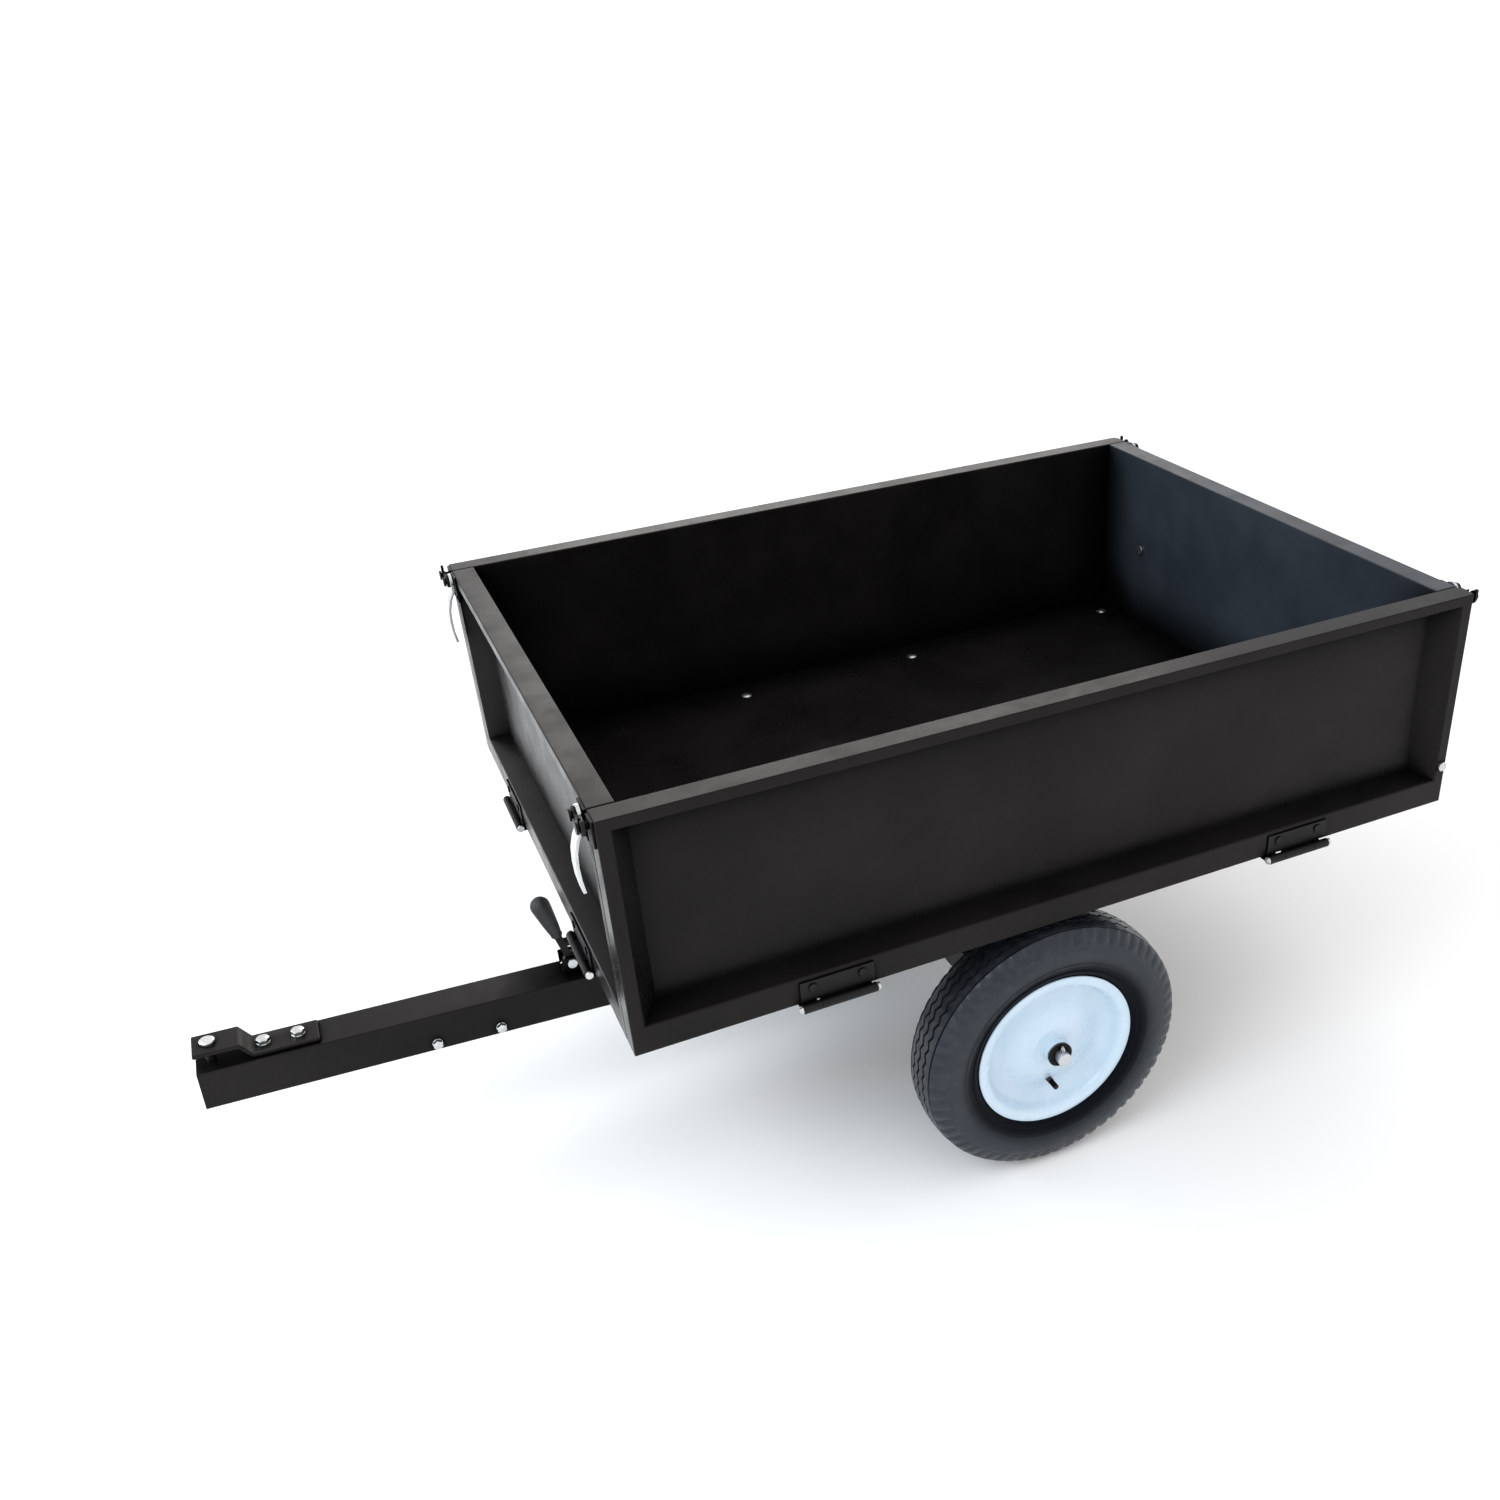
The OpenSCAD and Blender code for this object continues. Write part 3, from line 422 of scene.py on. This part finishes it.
def hex_head(bm, at, axis, flat_r, height, washer=0.0):
    """A hexagon head or nut that rises from at along axis, its corners chamfered."""
    axis = Vector(axis).normalized()
    u, v = frame_on(axis)
    at = Vector(at)
    if washer:
        wide = flat_r * 1.15
        turned(bm, fillet([(0, 0), (0, wide), (washer, wide), (washer, 0)],
                          [0, 0, washer * 0.3, 0], closed=False, steps=2), at, axis, 40)
        at = at + axis * washer
    segs, top_r = 48, flat_r * 0.95
    low, high, cap = [], [], []
    for k in range(segs):
        a = 2 * math.pi * k / segs
        off = (a + math.pi / 6) % (math.pi / 3) - math.pi / 6
        r = flat_r / math.cos(off)
        out = math.cos(a) * u + math.sin(a) * v
        low.append(bm.verts.new(at + out * r))
        high.append(bm.verts.new(at + out * r + axis * (height - (r - top_r) * 0.6)))
        cap.append(bm.verts.new(at + out * top_r + axis * height))
    for k in range(segs):
        j = (k + 1) % segs
        bm.faces.new((low[k], low[j], high[j], high[k]))
        bm.faces.new((high[k], high[j], cap[j], cap[k]))
    bm.faces.new(cap)
    bm.faces.new(low[::-1])


def threads(bm, a, b, r, pitch=0.00125, segs=24):
    """The threaded end of a bolt from a to b."""
    a, b = Vector(a), Vector(b)
    length = (b - a).length
    count = max(2, int(length / pitch))
    profile = [(0, 0), (0, r * 0.9)]
    for i in range(count):
        h = length * (i + 0.5) / count
        profile += [(h - pitch * 0.12, r * 0.99), (h + pitch * 0.12, r * 0.99)]
        if i < count - 1:
            profile.append((h + pitch * 0.5, r * 0.87))
    profile += [(length, r * 0.82), (length, 0)]
    turned(bm, profile, a, b - a, segs)


def tube(bm, path, r, segs=10, closed=False, ripple=0.0, wave=0.003, taper=0):
    """A round bead along the points of path. r is a radius, or one a point."""
    path = [Vector(p) for p in path]
    n = len(path)
    rings, last_u, run = [], None, 0.0
    for i, p in enumerate(path):
        q0 = path[i - 1] if closed or i else path[0]
        q1 = path[(i + 1) % n] if closed or i < n - 1 else path[-1]
        t = (q1 - q0).normalized()
        u = frame_on(t)[0] if last_u is None else (last_u - t * last_u.dot(t)).normalized()
        last_u = u
        v = t.cross(u)
        run += (p - path[i - 1]).length if i else 0
        size = r[i] if isinstance(r, (list, tuple)) else r
        size *= 1 + ripple * (2 * abs((run / wave) % 1 - 0.5) - 0.5)
        if taper and not closed:
            end = min(i, n - 1 - i)
            size *= math.sqrt(min(1, (end + 0.35) / taper))
        rings.append([bm.verts.new(p + (u * math.cos(a) + v * math.sin(a)) * size)
                      for a in (2 * math.pi * k / segs for k in range(segs))])
    for i in range(n if closed else n - 1):
        a, b = rings[i], rings[(i + 1) % n]
        for k in range(segs):
            j = (k + 1) % segs
            bm.faces.new((a[k], a[j], b[j], b[k]))
    if not closed:
        bm.faces.new(rings[0][::-1])
        bm.faces.new(rings[-1])


def line(a, b, step):
    """Points from a to b about step apart."""
    a, b = Vector(a), Vector(b)
    n = max(2, round((b - a).length / step))
    return [a.lerp(b, i / n) for i in range(n + 1)]


# ---- CAD nodes whose shape stays: folds and cut edges rounded ----
def face_width(f):
    """Twice the area over the perimeter: about the width of a long face."""
    return 2 * f.calc_area() / sum(e.calc_length() for e in f.edges)


def refine(node, fold=0.0018, edge=0.00035, wide=0.0045, sharp=34):
    """The node's own mesh, welded and with its folds and edges rounded, in its place."""
    ob = NODES[node]
    bm = bmesh.new()
    bm.from_mesh(ob.data)
    bmesh.ops.remove_doubles(bm, verts=bm.verts, dist=1e-5)
    bmesh.ops.dissolve_limit(bm, angle_limit=math.radians(0.6), verts=bm.verts, edges=bm.edges)
    if fold:
        folds = [e for e in bm.edges if len(e.link_faces) == 2 and e.is_convex
                 and e.calc_face_angle() > math.radians(40)
                 and min(face_width(f) for f in e.link_faces) > wide]
        bmesh.ops.bevel(bm, geom=folds, offset=fold, segments=4, profile=0.5, affect="EDGES")
    if edge:
        cuts = [e for e in bm.edges if len(e.link_faces) == 2 and e.is_convex
                and e.calc_face_angle() > math.radians(30)]
        bmesh.ops.bevel(bm, geom=cuts, offset=edge, segments=2, profile=0.5, affect="EDGES")
    mat = OWN.get(node, BY_SLOT[ob.data.materials[0].name])
    made = as_piece(node + "_made", bm, mat, ob["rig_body"], node, sharp=sharp)
    flat = made.modifiers.new("flat_faces", "WEIGHTED_NORMAL")
    flat.weight, flat.keep_sharp = 100, True


SHEET = ("near_side_panel", "far_side_panel", "front_panel", "tailgate", "bed_floor",
         "bed_cross_members", "bed_rails", "drawbar", "axle_beam", "hitch_strap", "bed_rest",
         "lever_bracket", "drawbar_gussets", "tip_strike")
REBUILT = ("near_tyre", "far_tyre", "near_rim", "far_rim", "near_valve", "far_valve",
           "lever_spring", "lever_grip", "cotter_pins", "floor_bolts", "drawbar_bolts",
           "hitch_bolts", "hitch_pin")
for node in NODES:
    if node not in REBUILT:
        refine(node, fold=0.0018 if node in SHEET else 0)


def middle(node):
    """The middle of a node's box."""
    lo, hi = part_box(node)
    return (lo + hi) / 2


# ---- wheels: profiles are (distance outward from the centre plane, radius) in mm ----
AROUND = 360                     # segments round the tyre, six to a tread block
BLOCK = 6
CROWN = [   # (y, r, zigzag share, cut by the shoulder notches)
    (1.1, 185.4, 1, 0), (2.3, 190.0, 1, 0), (7.0, 189.8, 0.6, 0), (12.2, 189.4, 1, 0),
    (13.3, 185.0, 1, 0), (15.3, 184.8, 1, 0), (16.5, 189.0, 1, 0), (21.5, 188.4, 0.4, 0),
    (26.2, 187.5, 0, 0), (27.0, 184.2, 0, 0), (28.8, 183.9, 0, 0), (29.6, 186.9, 0, 0),
    (33.6, 185.0, 0, 1), (37.4, 181.0, 0, 1), (40.2, 175.6, 0, 1), (42.2, 170.6, 0, 0.5),
    (43.0, 167.9, 0, 0), (42.9, 166.9, 0, 0), (43.6, 165.6, 0, 0), (44.6, 160.2, 0, 0),
    (45.0, 155.0, 0, 0), (44.8, 149.6, 0, 0), (44.0, 144.3, 0, 0), (42.9, 140.0, 0, 0),
    (43.1, 138.9, 0, 0), (42.4, 137.8, 0, 0), (40.9, 135.3, 0, 0), (38.6, 130.6, 0, 0),
    (36.4, 127.4, 0, 0), (36.7, 125.9, 0, 0), (36.3, 124.3, 0, 0), (34.6, 122.0, 0, 0),
    (32.2, 119.2, 0, 0), (30.6, 117.2, 0, 0), (30.2, 114.0, 0, 0), (30.4, 104.0, 0, 0),
    (29.0, 101.2, 0, 0), (23.8, 101.2, 0, 0), (23.5, 117.0, 0, 0), (33.0, 130.0, 0, 0),
    (37.8, 145.0, 0, 0), (37.8, 156.0, 0, 0), (34.0, 168.0, 0, 0), (24.0, 177.5, 0, 0),
    (8.0, 180.6, 0, 0),
]
OUTSIDE = 38                     # rows of CROWN on the outer skin
CROWN_HALF = 45.0                # its half width, mm
ZIGZAG, NOTCH = 2.3, 1.6         # mm
BEAD_R, FULL_R = 118.0, 132.0    # the rim holds the beads; the full width begins beyond


def squeeze(y, r, wide):
    """The tyre's half width follows the CAD tyre, all but where it sits in the rim."""
    share = min(1, max(0, (r - BEAD_R) / (FULL_R - BEAD_R)))
    return y * (1 + (wide - 1) * share)


def tyre(side, y_sign):
    """Tyre with zigzag ribs, shoulder notches, sidewall rings and a hollow inside."""
    lo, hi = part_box(f"{side}_tyre")
    wide = (hi.y - lo.y) / 2 / (CROWN_HALF * MM)
    outer = CROWN[:OUTSIDE]
    inner = CROWN[OUTSIDE:]
    rows = [(-y, r, z, n, 0.5) for y, r, z, n in reversed(outer)]
    rows += [(y, r, z, n, 0.0) for y, r, z, n in outer]
    rows += [(y, r, z, n, 0.0) for y, r, z, n in inner]
    rows += [(-y, r, z, n, 0.0) for y, r, z, n in reversed(inner)]

    def tread(i, a, h, r):
        _, _, zig, notch, half = rows[i]
        k = a / (2 * math.pi) * AROUND
        wave = 4 * abs((k / BLOCK) % 1 - 0.5) - 1
        h += zig * wave * ZIGZAG * MM
        cut = (k / BLOCK + half) % 1 > 0.6
        if notch and cut:
            r -= notch * NOTCH * MM
            h -= math.copysign(notch * NOTCH * 0.7 * MM, h)
        return h, r

    bm = bmesh.new()
    profile = [(squeeze(y, r, wide) * MM, r * MM) for y, r, *_ in rows]
    lathe(bm, profile, middle(f"{side}_tyre"), (0, y_sign, 0), AROUND, tread)
    as_piece(f"{side}_tyre_tread", bm, TYRE, f"{side}_wheel", f"{side}_tyre", sharp=32)


RIM = [  # closed section of the pressed rim, dish outward
    (33.0, 116.0, 1.2), (30.6, 116.0, 0.6), (30.0, 104.5, 3.0), (17.0, 101.0, 4.0),
    (11.0, 88.3, 4.0), (-11.0, 88.3, 4.0), (-17.0, 101.0, 4.0), (-30.0, 104.5, 3.0),
    (-30.6, 116.0, 0.6), (-33.0, 116.0, 1.2), (-32.4, 102.2, 5.0), (-16.5, 98.2, 5.0),
    (-10.0, 85.7, 4.0), (2.0, 85.7, 2.0), (4.0, 73.0, 10.0), (19.5, 44.0, 12.0),
    (23.6, 31.0, 5.0), (24.0, 17.2, 2.0), (-34.0, 17.2, 0.5), (-34.0, 13.8, 0.5),
    (38.0, 13.8, 0.5), (38.0, 17.2, 0.6), (26.8, 17.2, 3.0), (26.6, 32.0, 8.0),
    (22.8, 45.0, 20.0), (9.5, 70.0, 24.0), (7.2, 82.0, 16.0), (16.0, 95.0, 16.0),
    (27.0, 99.6, 8.0), (32.6, 103.0, 6.0), (34.2, 110.0, 4.0),
]


def rim(side, y_sign):
    """Pressed rim with its hub tube, and the weld between the dish and the tube."""
    bm = bmesh.new()
    points = [(y * MM, r * MM) for y, r, _ in RIM]
    profile = fillet(points, [c * MM for *_, c in RIM], steps=4)
    at = middle(f"{side}_tyre")
    lathe(bm, profile, at, (0, y_sign, 0), 128)
    as_piece(f"{side}_rim_pressing", bm, WHITE, f"{side}_wheel", f"{side}_rim", sharp=50)

    weld = bmesh.new()
    ring = [at + Vector((18.2 * MM * math.cos(a), y_sign * 27.2 * MM, 18.2 * MM * math.sin(a)))
            for a in (2 * math.pi * k / 120 for k in range(120))]
    tube(weld, ring, 0.0017, 8, closed=True, ripple=0.35, wave=0.0038)
    as_piece(f"{side}_hub_weld", weld, WHITE, f"{side}_wheel", sharp=60)


def valve(side, y_sign):
    """Valve stem in the dish and its threaded tip."""
    lo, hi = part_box(f"{side}_valve")
    foot = Vector(((lo.x + hi.x) / 2, lo.y if y_sign > 0 else hi.y, (lo.z + hi.z) / 2))
    bm = bmesh.new()
    stem = [(0, 0), (0, 5), (2, 5), (3, 4.6), (16.5, 4.2), (18, 4.2), (18, 0)]
    turned(bm, [(h * MM, r * MM) for h, r in stem], foot, (0, y_sign, 0), 32)
    as_piece(f"{side}_valve_stem", bm, GRIP, f"{side}_wheel", f"{side}_valve", sharp=40)
    bm = bmesh.new()
    tip = foot + Vector((0, y_sign * 18 * MM, 0))
    threads(bm, tip, tip + Vector((0, y_sign * 14 * MM, 0)), 0.00385, 0.0008, 32)
    as_piece(f"{side}_valve_thread", bm, DARK, f"{side}_wheel", sharp=50)


for side, y_sign in (("near", -1), ("far", 1)):
    tyre(side, y_sign)
    rim(side, y_sign)
    valve(side, y_sign)


# ---- fasteners, drawbar fittings and release gear ----
def islands(node):
    """The low and high corner of each separate piece of a CAD node."""
    bm = bmesh.new()
    bm.from_mesh(NODES[node].data)
    bmesh.ops.remove_doubles(bm, verts=bm.verts, dist=1e-5)
    left, out = set(bm.verts), []
    while left:
        queue, piece = [left.pop()], []
        while queue:
            v = queue.pop()
            piece.append(v.co.copy())
            for e in v.link_edges:
                o = e.other_vert(v)
                if o in left:
                    left.discard(o)
                    queue.append(o)
        out.append([Vector([pick(c[i] for c in piece) for i in range(3)]) for pick in (min, max)])
    bm.free()
    return out


BAR_LO, BAR_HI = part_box("drawbar")
BAR_HALF = (BAR_HI.y - BAR_LO.y) / 2
BAR_PITCH = math.radians(3)
BAR_DIR = Vector((math.cos(BAR_PITCH), 0, -math.sin(BAR_PITCH)))
BAR_UP = Vector((math.sin(BAR_PITCH), 0, math.cos(BAR_PITCH)))
BAR_FRONT = Vector((BAR_LO.x + BAR_HALF * BAR_UP.x, 0, BAR_HI.z - BAR_HALF * BAR_UP.z))
Y = Vector((0, 1, 0))
JAW_BOLTS, PIN_IN = (0.085, 0.129), 0.020    # distances from the drawbar's front end
JAW_T, HITCH_GAP = 0.006, 0.020
BOLT_TAIL = 0.003                # thread that shows past a nut
NUT_H = 0.006
WASHER_T = 0.0012


def on_bar(x, y, z):
    """A point along, across and above the drawbar's axis, from its front end."""
    return BAR_FRONT + BAR_DIR * x + Y * y + BAR_UP * z


def nut_bolt(bm, head_at, nut_at, r, flat_r):
    """A hex bolt through a joint: head and nut with washers, and the thread's end."""
    head_at, nut_at = Vector(head_at), Vector(nut_at)
    axis = (nut_at - head_at).normalized()
    hex_head(bm, head_at, -axis, flat_r, NUT_H, WASHER_T)
    rod(bm, head_at - axis * (NUT_H + 0.0001), head_at - axis * (NUT_H + BOLT_TAIL * 0.3),
        r * 0.92, 0.0006)
    rod(bm, head_at, nut_at, r)
    hex_head(bm, nut_at, axis, flat_r, NUT_H, WASHER_T)
    end = nut_at + axis * NUT_H
    threads(bm, end - axis * 0.001, end + axis * BOLT_TAIL, r)


def floor_bolts():
    """Carriage bolts: a low dome on the floor, a nut under the cross member."""
    ball_r, dome_r, dome_h = 12.7, 9.0, 3.7      # mm; the dome is the top of a ball
    bolt_r, flat_r, grip, washer = 0.004, 0.0065, 0.0052, 0.001
    dome = [(0, 0), (0, dome_r), (0.5, dome_r)]
    dome += [(h, math.sqrt(ball_r ** 2 - (h + ball_r - dome_h) ** 2))
             for h in (0.7, 1.2, 1.8, 2.4, 2.9, 3.3, 3.55)]
    dome = [(h * MM, r * MM) for h, r in dome + [(dome_h, 0)]]
    bm = bmesh.new()
    for lo, hi in islands("floor_bolts"):
        at = Vector(((lo.x + hi.x) / 2, (lo.y + hi.y) / 2, hi.z - dome_h * MM))
        turned(bm, dome, at, (0, 0, 1), 40)
        nut = at - Vector((0, 0, grip))
        rod(bm, at, nut, bolt_r)
        hex_head(bm, nut, (0, 0, -1), flat_r, NUT_H, washer)
        threads(bm, nut - Vector((0, 0, NUT_H)), Vector((at.x, at.y, lo.z)), bolt_r)
    as_piece("floor_carriage_bolts", bm, ZINC, "bed", "floor_bolts", sharp=32)


def drawbar_bolts():
    """The bolts through the drawbar's sides, and the two that hold the jaw."""
    corners = 3.6                # width over a CAD head's corners, in bolt radii
    bm = bmesh.new()
    for lo, hi in islands("drawbar_bolts"):
        c, r = (lo + hi) / 2, (hi.x - lo.x) / corners
        half = (hi.y - lo.y) / 2 - NUT_H - BOLT_TAIL
        nut_bolt(bm, c - Y * half, c + Y * half, r, r * 1.55)
    as_piece("drawbar_hex_bolts", bm, ZINC, "chassis", "drawbar_bolts", sharp=32)
    bm = bmesh.new()
    for x in JAW_BOLTS:
        nut_bolt(bm, on_bar(x, 0, BAR_HALF + JAW_T), on_bar(x, 0, -BAR_HALF), 0.005, 0.0078)
    as_piece("jaw_hex_bolts", bm, ZINC, "chassis", "hitch_bolts", sharp=32)


def hitch_pin():
    """Drop pin with a chamfered tip and a flat round head."""
    tip = -BAR_HALF + 0.001
    full = (BAR_HALF + HITCH_GAP + JAW_T - tip) / MM     # from the tip to the head, mm
    shaft = [(0, 0), (0, 4.6), (1.8, 6.35), (12, 6.35), (full - 0.8, 6.35)]
    head = [(0, 6.9), (0, 9.2), (0.7, 9.85), (4.4, 9.85), (5.6, 8.6), (6.0, 6.0), (6.0, 0)]
    profile = shaft + [(full + h, r) for h, r in head]
    bm = bmesh.new()
    turned(bm, [(h * MM, r * MM) for h, r in profile], on_bar(PIN_IN, 0, tip), BAR_UP)
    as_piece("hitch_drop_pin", bm, STEEL, "drop_pin", "hitch_pin", sharp=36)


def cotter_pins():
    """A split pin at each end of the axle, its legs bent apart under the shaft."""
    ring_r, wire, shank = 0.0034, 0.00085, 0.015
    leg = ((4.6, 1.2), (2.6, 2.2), (0.9, 4.6), (0.8, 9), (0.8, 26))     # (out, up) in mm
    pieces = islands("cotter_pins")
    ring_z = max(hi.z for _, hi in pieces) - 0.0044
    bm = bmesh.new()
    for lo, hi in pieces:
        if hi.z - lo.z < shank:      # the CAD pin's ring, made here with its legs
            continue
        c = (lo + hi) / 2
        loop = [Vector((c.x, c.y + ring_r * math.sin(a), ring_z - ring_r * math.cos(a)))
                for a in (math.radians(d) for d in range(20, 341, 16))]
        left, right = ([Vector((c.x, c.y + s * y * MM, lo.z + z * MM)) for y, z in leg]
                       for s in (-1, 1))
        tube(bm, right + loop + left[::-1], wire, 8)
    as_piece("split_pins", bm, ZINC, "chassis", "cotter_pins", sharp=50)


def release_gear():
    """The lever's torsion spring with its foot, and the tapered hand grip."""
    lo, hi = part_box("lever_spring")
    pivot = Vector(((lo.x + hi.x) / 2, 0, (lo.z + hi.z) / 2))
    coil_r, wire, turns, per = 0.0057, 0.001, 3.5, 24
    y0, y1 = lo.y + wire, hi.y - wire
    coil = []
    for k in range(int(turns * per) + 1):
        a = 2 * math.pi * k / per - math.pi / 2
        coil.append(pivot + Vector((coil_r * math.cos(a), y0 + (y1 - y0) * k / (turns * per),
                                    coil_r * math.sin(a))))
    foot = [coil[0] + Vector((-x, 0, -z)) * MM for x, z in ((14, 2.6), (11, 0.5), (6, 0))]
    bm = bmesh.new()
    tube(bm, foot + coil, wire, 10)
    as_piece("lever_torsion_spring", bm, ZINC, "chassis", "lever_spring", sharp=60)

    lo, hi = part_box("lever_grip")
    ball_at, ball_r = 104.0, (hi.y - lo.y) / 2 / MM      # mm from the pivot; the rounded end
    lean = math.asin((pivot.x - lo.x - ball_r * MM) / (ball_at * MM))
    axis = Vector((-math.sin(lean), 0, math.cos(lean)))
    neck_at, neck_r = 52, 8.2
    collar = [(46, 0), (46, 7.0), (46.6, 7.5), (49, 8.6), (50, 8.4), (51, 7.9)]
    taper = [(neck_at + 50 * t, neck_r + (ball_r - neck_r) * t ** 0.8)
             for t in (0, 0.15, 0.3, 0.45, 0.6, 0.75, 0.9)]
    end = [(ball_at + ball_r * math.sin(a), ball_r * math.cos(a))
           for a in (math.radians(d) for d in range(0, 90, 10))]
    profile = collar + taper + end + [(ball_at + ball_r, 0)]
    bm = bmesh.new()
    turned(bm, [(h * MM, r * MM) for h, r in profile], pivot, axis)
    as_piece("lever_hand_grip", bm, GRIP, "release", "lever_grip", sharp=40)


WELD_R, WELD_STEP = 0.0022, 0.0007


def bead(name, paths, body):
    """Weld beads with the ripple of each pass, painted over."""
    bm = bmesh.new()
    for path in paths:
        tube(bm, path, WELD_R, 8, ripple=0.22, wave=0.0042, taper=3)
    as_piece(name, bm, DARK, body, sharp=60)


def welds():
    """Beads at the rest post's foot, the pivot ears and the drawbar's gussets."""
    lo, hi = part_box("bed_rest")
    lines = []
    for x, s in ((lo.x, -1), (hi.x, 1)):
        z = on_bar((x - BAR_FRONT.x) / BAR_DIR.x, 0, 0).z + BAR_HALF
        lines.append(line((x + s * 0.0005, -0.0195, z), (x + s * 0.0005, 0.0195, z), WELD_STEP))
    bead("rest_welds", lines, "chassis")
    lines = []
    for lo, hi in islands("pivot_ears"):
        blo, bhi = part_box("axle_beam")
        for y in (lo.y, hi.y):
            lines.append(line((blo.x + 0.002, y, bhi.z), (bhi.x - 0.002, y, bhi.z), WELD_STEP))
    bead("ear_welds", lines, "chassis")
    lines = []
    for lo, hi in islands("drawbar_gussets"):
        y = lo.y if lo.y < 0 else hi.y
        lines.append(line((hi.x, y, lo.z + 0.014), (hi.x, y, hi.z - 0.001), WELD_STEP))
    bead("gusset_welds", lines, "chassis")


floor_bolts()
drawbar_bolts()
hitch_pin()
cotter_pins()
release_gear()
welds()


# ---- floor and light ----
def plane(name, size, at, mat):
    """A flat square that isn't part of the object."""
    bm = bmesh.new()
    bmesh.ops.create_grid(bm, x_segments=1, y_segments=1, size=size)
    bmesh.ops.translate(bm, verts=bm.verts, vec=at)
    mesh = bpy.data.meshes.new(name)
    bm.to_mesh(mesh)
    bm.free()
    mesh.materials.append(mat)
    ob = bpy.data.objects.new(name, mesh)
    scene.collection.objects.link(ob)


def studio():
    """White floor and sky, with three weak area lights for direction."""
    m = Nodes("studio_floor")
    soft = m.mix(m.noise(1.5, 2), (0.945, 0.945, 0.945), (0.965, 0.965, 0.965))
    plane("floor", 400, (0, 0, -0.0005), m.set(Base_Color=soft, Roughness=0.9))
    world = bpy.data.worlds.new("world")
    scene.world = world
    world.use_nodes = True
    sky = world.node_tree.nodes["Background"]
    sky.inputs["Color"].default_value = (1.0, 1.0, 1.0, 1.0)
    sky.inputs["Strength"].default_value = 1.1

    def area(name, at, to, size, watts, colour):
        light = bpy.data.lights.new(name, "AREA")
        light.shape = "RECTANGLE"
        light.size, light.size_y = size
        light.energy = watts
        light.color = colour
        ob = bpy.data.objects.new(name, light)
        scene.collection.objects.link(ob)
        ob.location = at
        ob.rotation_euler = (Vector(to) - Vector(at)).to_track_quat("-Z", "Y").to_euler()

    area("key", (-2.6, -1.2, 3.2), (0.2, 0, 0.4), (2.4, 2.0), 60, (0.90, 0.95, 1.0))
    area("back", (1.7, 4.2, 2.9), (0.1, 0, 0.6), (3.2, 1.8), 45, (1.0, 0.96, 0.92))
    area("front", (-3.0, 1.6, 2.2), (0.5, 0, 0.5), (1.6, 1.6), 55, (0.72, 0.86, 1.0))
    scene.view_settings.view_transform = "Standard"


studio()
